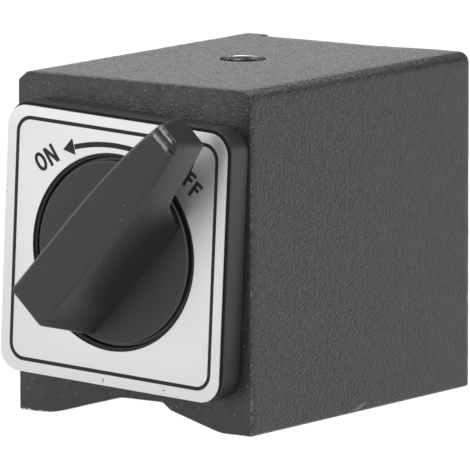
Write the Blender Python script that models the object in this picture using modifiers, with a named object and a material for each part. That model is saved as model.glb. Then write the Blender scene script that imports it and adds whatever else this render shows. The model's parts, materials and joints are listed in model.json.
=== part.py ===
"""Switchable magnetic base: a painted iron block whose magnet rotor is turned by a pointer knob.

Every piece is drawn in the front view: X to the right, Y up and Z towards the viewer, with the origin
on the rotor axis at the block's front face. Two empties stand that view upright in the world, where
X is right, Y runs into the block and Z is up. Lengths are in metres and angles in radians.
"""
import math

import bmesh
import bpy

# Clearances
FIT_GAP = 0.0003
SEAT_GAP = 0.0002
OVERCUT = 0.002

# Iron block
BLOCK_WIDTH = 0.046
BLOCK_LENGTH = 0.061
BLOCK_HEIGHT = 0.055
AXIS_HEIGHT = 0.02805
AXIS_SIDE_STEP = 0.00055
BORE_RADIUS = 0.017
FOOT_WIDTH = 0.0065
VEE_SLOPE = math.radians(15.5)
FOOT_BLEND_RADIUS = 0.012
ROOF_HEIGHT = 0.0038
TOP_CHAMFER_WIDTH = 0.0018
TOP_CHAMFER_DROP = 0.0014
TOP_ROUND_RADIUS = 0.0012

# Strips between the iron halves
TOP_SPACER_WIDTH = 0.0122
TOP_SPACER_OFFSET = -0.001
BOTTOM_SPACER_WIDTH = 0.0097
BOTTOM_SPACER_OFFSET = 0.001

# Tapped post hole, drawn at its core size
POST_CORE_RADIUS = 0.0034
POST_MOUTH_RADIUS = 0.00405
POST_FLOOR = 0.0015
POST_OFFSET = -0.0021
POST_FROM_FRONT = 0.0327

# Front cover, its screws and the label plate
COVER_SIZE = 0.0442
COVER_CORNER = 0.0042
COVER_THICKNESS = 0.00425
COVER_EDGE_ROUND = 0.0004
COVER_TURN = math.radians(-2.75)
LIP_THICKNESS = 0.002
LABEL_MARGIN = 0.00057
LABEL_CORNER = 0.0036
LABEL_THICKNESS = 0.0002
LABEL_HOLE_STEP = 0.00065
SCREW_INSET = 0.0049
SCREW_RADIUS = 0.0015
SCREW_HEAD_RADIUS = 0.00275
SCREW_HEAD_SINK = 0.0003
SCREW_DEPTH = 0.006

# Knob
DISC_RADIUS = 0.01463
DISC_EDGE_ROUND = 0.0004
RING_GAP = 0.00057
FLANGE_RADIUS = 0.0185
HUB_RADIUS = 0.011
HUB_DEPTH = 0.006
KNOB_ANGLE = math.radians(47)
KNOB_TRAVEL = math.radians(90)
HANDLE_HEIGHT = 0.0131
HANDLE_TAIL = 0.0111
HANDLE_TIP = 0.0301
HANDLE_WIDEST = 0.005
HANDLE_HALF_WIDTH = 0.0042
HANDLE_TAIL_HALF_WIDTH = 0.0041
HANDLE_TIP_HALF_WIDTH = 0.0022
HANDLE_TIP_SHARPNESS = 2.6
HANDLE_CORNER = 0.001
HANDLE_EDGE_ROUND = 0.0005
HANDLE_ROOT_LAP = 0.0012
FLANK_DRAFT = math.radians(9.1)
TAIL_LEAN = math.radians(9.5)
NECK_LEAN = math.radians(37)
NECK_LAND = 0.0003
NECK_FILLET = 0.002
UNDERSIDE_HEIGHT = 0.0066
NOTCH_RADIUS = 0.0007
NOTCH_INSET = 0.0016

# Quarter turn stop
STOP_PIN_RADIUS = 0.001
STOP_PIN_SEAT = 0.0014
STOP_PIN_ANGLE = math.radians(-90)

# Magnet rotor
CAP_THICKNESS = 0.004
TONGUE_LENGTH = 0.016
TONGUE_WIDTH = 0.006
TONGUE_SLOT_DEPTH = 0.0046
MAGNET_WIDTH = 0.028
MAGNET_THICKNESS = 0.012
MAGNET_COUNT = 2
RIVET_RADIUS = 0.0016
RIVET_HEAD_RADIUS = 0.0028
RIVET_HEAD_HEIGHT = 0.0014
RIVET_HEAD_SINK = 0.0005

# Rear bearing
JOURNAL_RADIUS = 0.005
BUSH_WALL = 0.0017
PLUG_THICKNESS = 0.005
PLUG_FLOOR = 0.001
PLUG_RECESS = 0.0003
WASHER_THICKNESS = 0.001
WASHER_RADIUS = 0.013
WAVE_WASHER_BAND = 0.005
WAVE_WASHER_SHEET = 0.0004
WAVE_HEIGHT = 0.0005
WAVE_COUNT = 3

# Facets
LARGE_STEPS = 64
SMALL_STEPS = 24
CORNER_STEPS = 5
BORE_STEPS = 26
HANDLE_STEPS = 14

# Levels along the rotor axis, counted towards the viewer from the block's front face
COVER_FRONT = SEAT_GAP + COVER_THICKNESS
LIP_BACK = COVER_FRONT - LIP_THICKNESS
LABEL_BACK = COVER_FRONT + SEAT_GAP
LABEL_FRONT = LABEL_BACK + LABEL_THICKNESS
KNOB_REACH = LABEL_FRONT + HANDLE_HEIGHT
FLANGE_FRONT = LIP_BACK - FIT_GAP
FRONT_CAP_FRONT = -HUB_DEPTH - FIT_GAP
FRONT_CAP_BACK = FRONT_CAP_FRONT - CAP_THICKNESS
PLUG_BACK = PLUG_RECESS - BLOCK_LENGTH
PLUG_FRONT = PLUG_BACK + PLUG_THICKNESS
WAVE_BACK = PLUG_FRONT + FIT_GAP
WASHER_BACK = WAVE_BACK + 2 * WAVE_HEIGHT + WAVE_WASHER_SHEET + FIT_GAP
REAR_CAP_BACK = WASHER_BACK + WASHER_THICKNESS + FIT_GAP
REAR_CAP_FRONT = REAR_CAP_BACK + CAP_THICKNESS
CORE_FRONT = FRONT_CAP_BACK - FIT_GAP
CORE_BACK = REAR_CAP_FRONT + FIT_GAP
BUSH_BACK = PLUG_BACK + PLUG_FLOOR + FIT_GAP

# Heights in the front view
BLOCK_TOP = BLOCK_HEIGHT - AXIS_HEIGHT
BLOCK_BOTTOM = -AXIS_HEIGHT
COVER_HOLE_RADIUS = DISC_RADIUS + RING_GAP
CAP_RADIUS = BORE_RADIUS - FIT_GAP
CORE_RADIUS = CAP_RADIUS - FIT_GAP
COVER_REACH = COVER_CORNER + (COVER_SIZE / 2 - COVER_CORNER) * (math.cos(COVER_TURN) - math.sin(COVER_TURN))
BLOCK_LEFT = AXIS_SIDE_STEP - BLOCK_WIDTH / 2
BLOCK_RIGHT = AXIS_SIDE_STEP + BLOCK_WIDTH / 2
RIVET_OFFSET = (MAGNET_THICKNESS / 2 + FIT_GAP + CORE_RADIUS) / 2

for old in list(bpy.data.objects):
    bpy.data.objects.remove(old, do_unlink=True)

PARTS = bpy.data.collections.new("magnetic_base")
CUTTERS = bpy.data.collections.new("magnetic_base_cutters")
bpy.context.scene.collection.children.link(PARTS)
bpy.context.scene.collection.children.link(CUTTERS)


def front_view_frame(name):
    """An empty on the rotor axis at the block's front face that stands the front view upright."""
    left = min(BLOCK_LEFT, -COVER_REACH)
    frame = bpy.data.objects.new(name, None)
    frame.location = (-(left + BLOCK_RIGHT) / 2, (KNOB_REACH - BLOCK_LENGTH) / 2, AXIS_HEIGHT)
    frame.rotation_euler = (math.pi / 2, 0, 0)
    PARTS.objects.link(frame)
    return frame


BASE = front_view_frame("base_frame")
ROTOR = front_view_frame("rotor_axis")


def finish(name, colour, roughness, metallic):
    material = bpy.data.materials.new(name)
    material.use_nodes = True
    shader = material.node_tree.nodes["Principled BSDF"]
    shader.inputs["Base Color"].default_value = (*colour, 1)
    shader.inputs["Roughness"].default_value = roughness
    shader.inputs["Metallic"].default_value = metallic
    return material


BLACK_PAINT = finish("black_paint", (0.045, 0.045, 0.047), 0.62, 0)
PAINTED_ALUMINIUM = finish("painted_aluminium", (0.045, 0.045, 0.047), 0.62, 0)
BLACK_PLASTIC = finish("black_plastic", (0.035, 0.035, 0.036), 0.42, 0)
SATIN_ALUMINIUM = finish("satin_aluminium", (0.72, 0.72, 0.72), 0.38, 1)
CAST_ALUMINIUM = finish("cast_aluminium", (0.55, 0.55, 0.56), 0.5, 1)
BRIGHT_STEEL = finish("bright_steel", (0.6, 0.6, 0.61), 0.35, 1)
SOFT_IRON = finish("soft_iron", (0.32, 0.32, 0.33), 0.55, 1)
FERRITE = finish("ferrite", (0.06, 0.06, 0.065), 0.7, 0)
BRASS = finish("brass", (0.72, 0.55, 0.25), 0.35, 1)


def place(name, mesh, frame, material=None):
    """Put a mesh in the front view as a finished part, or as a cutter when it has no material."""
    piece = bpy.data.objects.new(name, mesh)
    piece.parent = frame
    if material:
        mesh.materials.clear()
        mesh.materials.append(material)
        PARTS.objects.link(piece)
    else:
        piece.hide_render = True
        piece.display_type = "WIRE"
        CUTTERS.objects.link(piece)
    return piece


def arc(centre, radius, start, end, steps):
    points = []
    for step in range(steps + 1):
        angle = start + (end - start) * step / steps
        points.append((centre[0] + radius * math.cos(angle), centre[1] + radius * math.sin(angle)))
    return points


def rounded_square(size, corner):
    reach = size / 2 - corner
    points = []
    for quarter in range(4):
        start = quarter * math.pi / 2
        side_x = 1 if quarter in (0, 3) else -1
        side_y = 1 if quarter in (0, 1) else -1
        points += arc((side_x * reach, side_y * reach), corner, start, start + math.pi / 2, CORNER_STEPS)
    return points


def prism(name, outline, low, high, frame, material=None):
    """A flat outline, as a filled curve, with its thickness along Z from low to high."""
    curve = bpy.data.curves.new(name, "CURVE")
    curve.dimensions = "2D"
    curve.fill_mode = "BOTH"
    curve.extrude = (high - low) / 2
    spline = curve.splines.new("POLY")
    spline.points.add(len(outline) - 1)
    for point, (x, y) in zip(spline.points, outline):
        point.co = (x, y, 0, 1)
    spline.use_cyclic_u = True
    carrier = bpy.data.objects.new(name, curve)
    PARTS.objects.link(carrier)
    seen = carrier.evaluated_get(bpy.context.evaluated_depsgraph_get())
    mesh = bpy.data.meshes.new_from_object(seen)
    bpy.data.objects.remove(carrier, do_unlink=True)
    solid = bmesh.new()
    solid.from_mesh(mesh)
    bmesh.ops.remove_doubles(solid, verts=solid.verts, dist=1e-6)
    bmesh.ops.translate(solid, verts=solid.verts, vec=(0, 0, (low + high) / 2))
    bmesh.ops.recalc_face_normals(solid, faces=solid.faces)
    solid.to_mesh(mesh)
    solid.free()
    mesh.name = name
    return place(name, mesh, frame, material)


def turned(name, profile, frame, material=None, steps=LARGE_STEPS, ring=False):
    """A profile of (radius, level) points, outer side from top to bottom, turned about Z."""
    mesh = bpy.data.meshes.new(name)
    edges = [(index, index + 1) for index in range(len(profile) - 1)]
    if ring:
        edges.append((len(profile) - 1, 0))
    mesh.from_pydata([(radius, 0, level) for radius, level in profile], edges, [])
    piece = place(name, mesh, frame, material)
    screw = piece.modifiers.new("turn", "SCREW")
    screw.axis = "Z"
    screw.steps = steps
    screw.render_steps = steps
    screw.use_merge_vertices = True
    screw.merge_threshold = 1e-6
    screw.use_smooth_shade = False
    return piece


def rod(name, radius, low, high, frame, material=None, steps=SMALL_STEPS):
    return turned(name, [(0, high), (radius, high), (radius, low), (0, low)], frame, material, steps)


def box(name, size_x, size_y, low, high, frame, material=None):
    mesh = bpy.data.meshes.new(name)
    solid = bmesh.new()
    bmesh.ops.create_cube(solid, size=1)
    bmesh.ops.scale(solid, verts=solid.verts, vec=(size_x, size_y, high - low))
    bmesh.ops.translate(solid, verts=solid.verts, vec=(0, 0, (low + high) / 2))
    solid.to_mesh(mesh)
    solid.free()
    return place(name, mesh, frame, material)


def combine(piece, other, operation="DIFFERENCE"):
    boolean = piece.modifiers.new(other.name, "BOOLEAN")
    boolean.operation = operation
    boolean.object = other


def round_edges(piece, width, segments=2):
    bevel = piece.modifiers.new("edge_round", "BEVEL")
    bevel.width = width
    bevel.segments = segments
    bevel.limit_method = "ANGLE"
    bevel.angle_limit = math.radians(30)


def pole_outline(side):
    """One iron half: foot, vee slope, half of the bore and its top corner. side is -1 or 1."""
    step = side * AXIS_SIDE_STEP
    outer = BLOCK_WIDTH / 2 + step
    foot = outer - FOOT_WIDTH
    below = BOTTOM_SPACER_WIDTH / 2 + side * BOTTOM_SPACER_OFFSET + step + FIT_GAP
    above = TOP_SPACER_WIDTH / 2 + side * TOP_SPACER_OFFSET + step + FIT_GAP
    slope_top = BLOCK_BOTTOM + (foot - below) * math.tan(VEE_SLOPE)
    blend = FOOT_BLEND_RADIUS * math.tan(VEE_SLOPE / 2)
    centre = (foot + blend, BLOCK_BOTTOM + FOOT_BLEND_RADIUS)
    points = [(outer, BLOCK_BOTTOM)]
    points += arc(centre, FOOT_BLEND_RADIUS, -math.pi / 2, -math.pi / 2 - VEE_SLOPE, CORNER_STEPS)
    points.append((below, slope_top))
    bore_start = -math.acos(below / BORE_RADIUS)
    bore_end = math.acos(above / BORE_RADIUS)
    points += arc((0, 0), BORE_RADIUS, bore_start, bore_end, BORE_STEPS)
    points.append((above, BLOCK_TOP))
    if side < 0:
        points.append((outer - TOP_CHAMFER_WIDTH, BLOCK_TOP))
        points.append((outer, BLOCK_TOP - TOP_CHAMFER_DROP))
    else:
        centre = (outer - TOP_ROUND_RADIUS, BLOCK_TOP - TOP_ROUND_RADIUS)
        points += arc(centre, TOP_ROUND_RADIUS, math.pi / 2, 0, CORNER_STEPS)
    return [(side * x, y) for x, y in points]


def spacer_outline(middle, width, end):
    """A strip from the bore wall to the level end, which lies above or below the bore."""
    left = middle - width / 2
    right = middle + width / 2
    side = math.copysign(1, end)
    start_angle = side * math.acos(left / BORE_RADIUS)
    end_angle = side * math.acos(right / BORE_RADIUS)
    return [(right, end), (left, end)] + arc((0, 0), BORE_RADIUS, start_angle, end_angle, CORNER_STEPS)


def screw_profile(grow=0.0, overcut=0.0):
    """A countersunk screw, or the hole it needs."""
    head_top = COVER_FRONT - SCREW_HEAD_SINK
    head = SCREW_HEAD_RADIUS + grow
    shank = SCREW_RADIUS + grow
    foot = -SCREW_DEPTH - grow
    profile = [(0, head_top + overcut), (head, head_top + overcut)]
    if overcut:
        profile.append((head, head_top))
    return profile + [(shank, head_top - (head - shank)), (shank, foot), (0, foot)]


def build_block():
    left = prism("left_pole", pole_outline(-1), -BLOCK_LENGTH, 0, BASE, BLACK_PAINT)
    right = prism("right_pole", pole_outline(1), -BLOCK_LENGTH, 0, BASE, BLACK_PAINT)
    top_middle = AXIS_SIDE_STEP + TOP_SPACER_OFFSET
    bridge = spacer_outline(top_middle, TOP_SPACER_WIDTH, BLOCK_TOP)
    top = prism("top_spacer", bridge, -BLOCK_LENGTH, 0, BASE, PAINTED_ALUMINIUM)
    bottom_middle = AXIS_SIDE_STEP + BOTTOM_SPACER_OFFSET
    roof = spacer_outline(bottom_middle, BOTTOM_SPACER_WIDTH, BLOCK_BOTTOM + ROOF_HEIGHT)
    prism("bottom_spacer", roof, -BLOCK_LENGTH, 0, BASE, PAINTED_ALUMINIUM)

    depth = BLOCK_TOP - BORE_RADIUS - POST_FLOOR
    mouth = POST_MOUTH_RADIUS
    profile = [(0, OVERCUT), (mouth, OVERCUT), (mouth, 0), (POST_CORE_RADIUS, POST_CORE_RADIUS - mouth)]
    profile += [(POST_CORE_RADIUS, -depth), (0, -depth)]
    post_hole = turned("post_hole_cutter", profile, BASE, steps=SMALL_STEPS)
    post_hole.rotation_euler = (-math.pi / 2, 0, 0)
    post_hole.location = (AXIS_SIDE_STEP + POST_OFFSET, BLOCK_TOP, -POST_FROM_FRONT)
    combine(top, post_hole)
    return left, right


def build_cover(left, right):
    cover_outline = rounded_square(COVER_SIZE, COVER_CORNER)
    cover = prism("front_cover", cover_outline, SEAT_GAP, COVER_FRONT, BASE, BLACK_PLASTIC)
    cover.rotation_euler = (0, 0, COVER_TURN)
    round_edges(cover, COVER_EDGE_ROUND)
    beyond = LABEL_FRONT + OVERCUT
    window = rod("cover_window_cutter", COVER_HOLE_RADIUS, -OVERCUT, beyond, BASE, steps=LARGE_STEPS)
    combine(cover, window)
    recess_radius = FLANGE_RADIUS + FIT_GAP
    recess = rod("cover_recess_cutter", recess_radius, -OVERCUT, LIP_BACK, BASE, steps=LARGE_STEPS)
    combine(cover, recess)

    label_outline = rounded_square(COVER_SIZE - 2 * LABEL_MARGIN, LABEL_CORNER)
    label = prism("label_plate", label_outline, LABEL_BACK, LABEL_FRONT, BASE, SATIN_ALUMINIUM)
    label.rotation_euler = (0, 0, COVER_TURN)
    label_hole_radius = COVER_HOLE_RADIUS + LABEL_HOLE_STEP
    label_hole = rod("label_hole_cutter", label_hole_radius, -OVERCUT, beyond, BASE, steps=LARGE_STEPS)
    combine(label, label_hole)

    reach = (COVER_SIZE / 2 - SCREW_INSET) * math.sqrt(2)
    for number in range(4):
        angle = COVER_TURN + math.pi / 4 + number * math.pi / 2
        spot = (reach * math.cos(angle), reach * math.sin(angle), 0)
        name = f"cover_screw_{number + 1}"
        screw = turned(name, screw_profile(), BASE, BRIGHT_STEEL, SMALL_STEPS)
        screw.location = spot
        hole = turned(f"{name}_cutter", screw_profile(FIT_GAP, OVERCUT), BASE, steps=SMALL_STEPS)
        hole.location = spot
        combine(cover, hole)
        combine(right if spot[0] > 0 else left, hole)
    return cover


def build_stop(cover, knob):
    """A pin in the cover that stands in an arc cut out of the knob's flange."""
    pin_circle = FLANGE_RADIUS - STOP_PIN_RADIUS
    spot = (pin_circle * math.cos(STOP_PIN_ANGLE), pin_circle * math.sin(STOP_PIN_ANGLE), 0)
    pin_top = LIP_BACK + STOP_PIN_SEAT
    pin = rod("stop_pin", STOP_PIN_RADIUS, FIT_GAP, pin_top, BASE, BRIGHT_STEEL)
    pin.location = spot
    seat_radius = STOP_PIN_RADIUS + SEAT_GAP
    seat = rod("stop_pin_seat_cutter", seat_radius, -OVERCUT, pin_top + SEAT_GAP, BASE)
    seat.location = spot
    combine(cover, seat)

    margin = math.asin(STOP_PIN_RADIUS / pin_circle) + FIT_GAP / pin_circle
    late = STOP_PIN_ANGLE - KNOB_ANGLE + margin
    early = late - KNOB_TRAVEL - 2 * margin
    inner = pin_circle - STOP_PIN_RADIUS - FIT_GAP
    outline = arc((0, 0), inner, early, late, BORE_STEPS)
    outline += arc((0, 0), FLANGE_RADIUS + OVERCUT, late, early, BORE_STEPS)
    travel = prism("stop_travel_cutter", outline, -OVERCUT, LIP_BACK, ROTOR)
    travel.rotation_euler = (0, 0, KNOB_ANGLE)
    combine(knob, travel)


def handle_half_width(along):
    """Half the width of the handle's crest, which swells in the middle and narrows to its tip."""
    if along > HANDLE_WIDEST:
        share = (along - HANDLE_WIDEST) / (HANDLE_TIP - HANDLE_WIDEST)
        narrowing = (HANDLE_HALF_WIDTH - HANDLE_TIP_HALF_WIDTH) * share ** HANDLE_TIP_SHARPNESS
    else:
        share = (HANDLE_WIDEST - along) / (HANDLE_WIDEST + HANDLE_TAIL)
        narrowing = (HANDLE_HALF_WIDTH - HANDLE_TAIL_HALF_WIDTH) * share ** 2
    return HANDLE_HALF_WIDTH - narrowing


def handle_outline(height):
    """The handle's outline at a height above the disc, wider and longer towards its root."""
    drop = HANDLE_HEIGHT - height
    widen = drop * math.tan(FLANK_DRAFT)
    tail = -HANDLE_TAIL - drop * math.tan(TAIL_LEAN)
    side = []
    for step in range(HANDLE_STEPS + 1):
        share = step / HANDLE_STEPS
        crest = -HANDLE_TAIL + HANDLE_CORNER + (HANDLE_TIP + HANDLE_TAIL - 2 * HANDLE_CORNER) * share
        along = tail + HANDLE_CORNER + (HANDLE_TIP - tail - 2 * HANDLE_CORNER) * share
        side.append((along, handle_half_width(crest) + widen))
    tail_centre = (side[0][0], side[0][1] - HANDLE_CORNER)
    tip_centre = (side[-1][0], side[-1][1] - HANDLE_CORNER)
    half = arc(tail_centre, HANDLE_CORNER, math.pi, math.pi / 2, CORNER_STEPS)
    half += side[1:-1]
    half += arc(tip_centre, HANDLE_CORNER, math.pi / 2, 0, CORNER_STEPS)
    return half + [(along, -across) for along, across in reversed(half)]


def handle_body():
    """The drafted bar, lofted from its root inside the disc to its crest."""
    root = handle_outline(-HANDLE_ROOT_LAP)
    crest = handle_outline(HANDLE_HEIGHT)
    solid = bmesh.new()
    low = [solid.verts.new((x, y, LABEL_FRONT - HANDLE_ROOT_LAP)) for x, y in root]
    high = [solid.verts.new((x, y, KNOB_REACH)) for x, y in crest]
    solid.faces.new(low)
    solid.faces.new(high)
    for index in range(len(low)):
        after = (index + 1) % len(low)
        solid.faces.new((low[index], low[after], high[after], high[index]))
    bmesh.ops.recalc_face_normals(solid, faces=solid.faces)
    mesh = bpy.data.meshes.new("knob_handle")
    solid.to_mesh(mesh)
    solid.free()
    handle = place("knob_handle", mesh, ROTOR)
    handle.rotation_euler = (0, 0, KNOB_ANGLE)
    return handle


def cross_cutter(name, outline, half_length):
    """A cutter across the handle, from an outline of (along, height above the disc)."""
    cutter = prism(name, outline, -half_length, half_length, ROTOR)
    cutter.rotation_euler = (math.pi / 2, 0, KNOB_ANGLE)
    cutter.location = (0, 0, LABEL_FRONT)
    return cutter


def build_handle():
    handle = handle_body()
    root_half = HANDLE_HALF_WIDTH + HANDLE_HEIGHT * math.tan(FLANK_DRAFT)
    foot = math.sqrt((DISC_RADIUS - NECK_LAND) ** 2 - root_half ** 2)
    clear = HANDLE_TIP + OVERCUT
    below = -HANDLE_ROOT_LAP - OVERCUT
    neck_top = foot + UNDERSIDE_HEIGHT * math.tan(NECK_LEAN)
    turn = math.pi / 2 - NECK_LEAN
    reach = NECK_FILLET * math.tan(turn / 2)
    centre = (neck_top + reach, UNDERSIDE_HEIGHT - NECK_FILLET)
    outline = [(clear, below), (foot, below), (foot, 0)]
    outline += arc(centre, NECK_FILLET, math.pi / 2 + turn, math.pi / 2, CORNER_STEPS)
    outline.append((clear, UNDERSIDE_HEIGHT))
    half_length = root_half + OVERCUT
    combine(handle, cross_cutter("handle_undercut_cutter", outline, half_length))
    round_edges(handle, HANDLE_EDGE_ROUND)
    notch = arc((HANDLE_TIP - NOTCH_INSET, HANDLE_HEIGHT), NOTCH_RADIUS, 0, 2 * math.pi, SMALL_STEPS)
    combine(handle, cross_cutter("handle_notch_cutter", notch[:-1], half_length))
    return handle


def build_knob():
    """The moulded knob: a disc in the cover's window, a trapped flange, a slotted hub and the handle."""
    edge = DISC_RADIUS - DISC_EDGE_ROUND
    edge_centre = (edge, LABEL_FRONT - DISC_EDGE_ROUND)
    profile = [(0, LABEL_FRONT)] + arc(edge_centre, DISC_EDGE_ROUND, math.pi / 2, 0, 3)
    profile += [(DISC_RADIUS, FLANGE_FRONT), (FLANGE_RADIUS, FLANGE_FRONT), (FLANGE_RADIUS, FIT_GAP)]
    profile += [(HUB_RADIUS, FIT_GAP), (HUB_RADIUS, -HUB_DEPTH), (0, -HUB_DEPTH)]
    knob = turned("knob", profile, ROTOR, BLACK_PLASTIC)
    knob.rotation_euler = (0, 0, KNOB_ANGLE)
    slot_length = TONGUE_LENGTH + 2 * FIT_GAP
    slot_width = TONGUE_WIDTH + 2 * FIT_GAP
    slot_top = TONGUE_SLOT_DEPTH - HUB_DEPTH
    slot = box("drive_slot_cutter", slot_length, slot_width, -HUB_DEPTH - OVERCUT, slot_top, ROTOR)
    combine(knob, slot)
    combine(knob, build_handle(), "UNION")
    return knob


def rivet_profile(grow=0.0, overcut=0.0):
    """A rivet from cap to cap with a head sunk in each, or the hole it needs."""
    shank = RIVET_RADIUS + grow
    head = RIVET_HEAD_RADIUS + grow
    front = FRONT_CAP_FRONT - RIVET_HEAD_SINK
    back = REAR_CAP_BACK + RIVET_HEAD_SINK
    profile = [(0, front + overcut), (head, front + overcut), (head, front - RIVET_HEAD_HEIGHT - grow)]
    profile += [(shank, front - RIVET_HEAD_HEIGHT - grow), (shank, back + RIVET_HEAD_HEIGHT + grow)]
    return profile + [(head, back + RIVET_HEAD_HEIGHT + grow), (head, back - overcut), (0, back - overcut)]


def rotor_pole_outline(side):
    """A half-round iron shoe above or below the magnets."""
    flat = MAGNET_THICKNESS / 2 + FIT_GAP
    start = math.asin(flat / CORE_RADIUS)
    return [(x, side * y) for x, y in arc((0, 0), CORE_RADIUS, start, math.pi - start, BORE_STEPS)]


def build_rotor():
    front_profile = [(0, FRONT_CAP_FRONT), (CAP_RADIUS, FRONT_CAP_FRONT)]
    front_profile += [(CAP_RADIUS, FRONT_CAP_BACK), (0, FRONT_CAP_BACK)]
    front_cap = turned("rotor_front_cap", front_profile, ROTOR, CAST_ALUMINIUM)
    tongue_tip = TONGUE_SLOT_DEPTH - HUB_DEPTH - FIT_GAP
    tongue_root = FRONT_CAP_FRONT - CAP_THICKNESS / 2
    tongue = box("drive_tongue", TONGUE_LENGTH, TONGUE_WIDTH, tongue_root, tongue_tip, ROTOR)
    combine(front_cap, tongue, "UNION")

    journal_end = BUSH_BACK + FIT_GAP
    profile = [(0, REAR_CAP_FRONT), (CAP_RADIUS, REAR_CAP_FRONT), (CAP_RADIUS, REAR_CAP_BACK)]
    profile += [(JOURNAL_RADIUS, REAR_CAP_BACK), (JOURNAL_RADIUS, journal_end), (0, journal_end)]
    rear_cap = turned("rotor_rear_cap", profile, ROTOR, CAST_ALUMINIUM)

    pitch = (CORE_FRONT - CORE_BACK + FIT_GAP) / MAGNET_COUNT
    for number in range(MAGNET_COUNT):
        front = CORE_FRONT - number * pitch
        back = front - pitch + FIT_GAP
        box(f"rotor_magnet_{number + 1}", MAGNET_WIDTH, MAGNET_THICKNESS, back, front, ROTOR, FERRITE)

    for side, place_name in ((1, "upper"), (-1, "lower")):
        name = f"rotor_pole_{place_name}"
        shoe = prism(name, rotor_pole_outline(side), CORE_BACK, CORE_FRONT, ROTOR, SOFT_IRON)
        rivet = turned(f"rotor_rivet_{place_name}", rivet_profile(), ROTOR, BRASS, SMALL_STEPS)
        hole_profile = rivet_profile(FIT_GAP, OVERCUT)
        hole = turned(f"rotor_rivet_{place_name}_cutter", hole_profile, ROTOR, steps=SMALL_STEPS)
        for piece in (rivet, hole):
            piece.location = (0, side * RIVET_OFFSET, 0)
        for piece in (shoe, front_cap, rear_cap):
            combine(piece, hole)


def build_wave_washer():
    """A thin spring ring whose surface rises and falls around the axis."""
    outer = WASHER_RADIUS
    inner = WASHER_RADIUS - WAVE_WASHER_BAND
    flat = turned("wave_washer", [(inner, 0), (outer, 0)], BASE, BRIGHT_STEEL)
    seen = flat.evaluated_get(bpy.context.evaluated_depsgraph_get())
    mesh = bpy.data.meshes.new_from_object(seen)
    bpy.data.objects.remove(flat, do_unlink=True)
    middle = WAVE_BACK + WAVE_HEIGHT + WAVE_WASHER_SHEET / 2
    for vertex in mesh.vertices:
        turn = math.atan2(vertex.co.y, vertex.co.x)
        vertex.co.z = middle + WAVE_HEIGHT * math.cos(WAVE_COUNT * turn)
    ring = place("wave_washer", mesh, BASE, BRIGHT_STEEL)
    sheet = ring.modifiers.new("sheet", "SOLIDIFY")
    sheet.thickness = WAVE_WASHER_SHEET
    sheet.offset = 0


def ring_profile(inner, outer, low, high):
    return [(outer, high), (outer, low), (inner, low), (inner, high)]


def build_rear_bearing():
    bush_inner = JOURNAL_RADIUS + FIT_GAP
    bush_outer = bush_inner + BUSH_WALL
    turned("rear_bush", ring_profile(bush_inner, bush_outer, BUSH_BACK, PLUG_FRONT), BASE, BRASS, ring=True)
    seat = bush_outer + FIT_GAP
    floor = PLUG_BACK + PLUG_FLOOR
    profile = [(seat, PLUG_FRONT), (CAP_RADIUS, PLUG_FRONT), (CAP_RADIUS, PLUG_BACK), (0, PLUG_BACK)]
    turned("rear_plug", [(0, floor), (seat, floor)] + profile, BASE, BLACK_PLASTIC)
    washer_front = WASHER_BACK + WASHER_THICKNESS
    washer = ring_profile(bush_inner, WASHER_RADIUS, WASHER_BACK, washer_front)
    turned("thrust_washer", washer, BASE, BRIGHT_STEEL, ring=True)
    build_wave_washer()


def smooth_round_pieces():
    for piece in PARTS.objects:
        if piece.type == "MESH":
            piece.data.shade_smooth()
            piece.data.set_sharp_from_angle(angle=math.radians(30))


left_pole, right_pole = build_block()
front_cover = build_cover(left_pole, right_pole)
front_knob = build_knob()
build_stop(front_cover, front_knob)
build_rotor()
build_rear_bearing()
smooth_round_pieces()
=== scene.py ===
# %% [markdown]
# # A switchable magnetic base
# A black iron block holds a magnet that a pointer knob turns on and off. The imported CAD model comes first
# and never moves: every piece made below sits on it, in metres, in the same frame. X runs to the right, Y
# into the block and Z up.

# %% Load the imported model
import json
import math

import bmesh
import bpy
from mathutils import Matrix, Vector, noise

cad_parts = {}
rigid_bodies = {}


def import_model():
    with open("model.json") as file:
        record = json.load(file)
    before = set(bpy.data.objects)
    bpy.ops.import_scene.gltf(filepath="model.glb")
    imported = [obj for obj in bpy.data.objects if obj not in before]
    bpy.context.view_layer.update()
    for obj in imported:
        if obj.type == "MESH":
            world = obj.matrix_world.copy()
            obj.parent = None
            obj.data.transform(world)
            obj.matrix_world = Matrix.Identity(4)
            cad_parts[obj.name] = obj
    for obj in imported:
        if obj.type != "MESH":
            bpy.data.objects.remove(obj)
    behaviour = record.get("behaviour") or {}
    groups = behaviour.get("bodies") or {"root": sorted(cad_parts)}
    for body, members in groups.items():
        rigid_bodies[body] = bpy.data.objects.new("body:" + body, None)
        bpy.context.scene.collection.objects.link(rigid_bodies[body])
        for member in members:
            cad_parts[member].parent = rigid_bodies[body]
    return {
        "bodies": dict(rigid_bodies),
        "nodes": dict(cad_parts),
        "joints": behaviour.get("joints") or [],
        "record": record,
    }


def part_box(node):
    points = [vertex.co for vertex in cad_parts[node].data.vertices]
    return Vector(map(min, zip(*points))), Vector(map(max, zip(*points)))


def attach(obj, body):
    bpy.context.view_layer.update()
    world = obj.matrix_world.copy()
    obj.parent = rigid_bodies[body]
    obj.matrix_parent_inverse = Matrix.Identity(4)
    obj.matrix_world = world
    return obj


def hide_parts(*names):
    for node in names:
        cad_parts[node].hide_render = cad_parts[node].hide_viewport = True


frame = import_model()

scene = bpy.context.scene
for thing in list(scene.objects):
    if thing.name not in frame["nodes"] and thing not in frame["bodies"].values():
        bpy.data.objects.remove(thing, do_unlink=True)
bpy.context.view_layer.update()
MM = 0.001

# %% [markdown]
# ## One small class for shader maths
# A material is a network of nodes. Wiring each sum by hand is slow to write and hard to read, so this
# class wraps a socket and lets Python's own operators add the Math nodes. Its method node makes every
# other kind.

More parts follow.
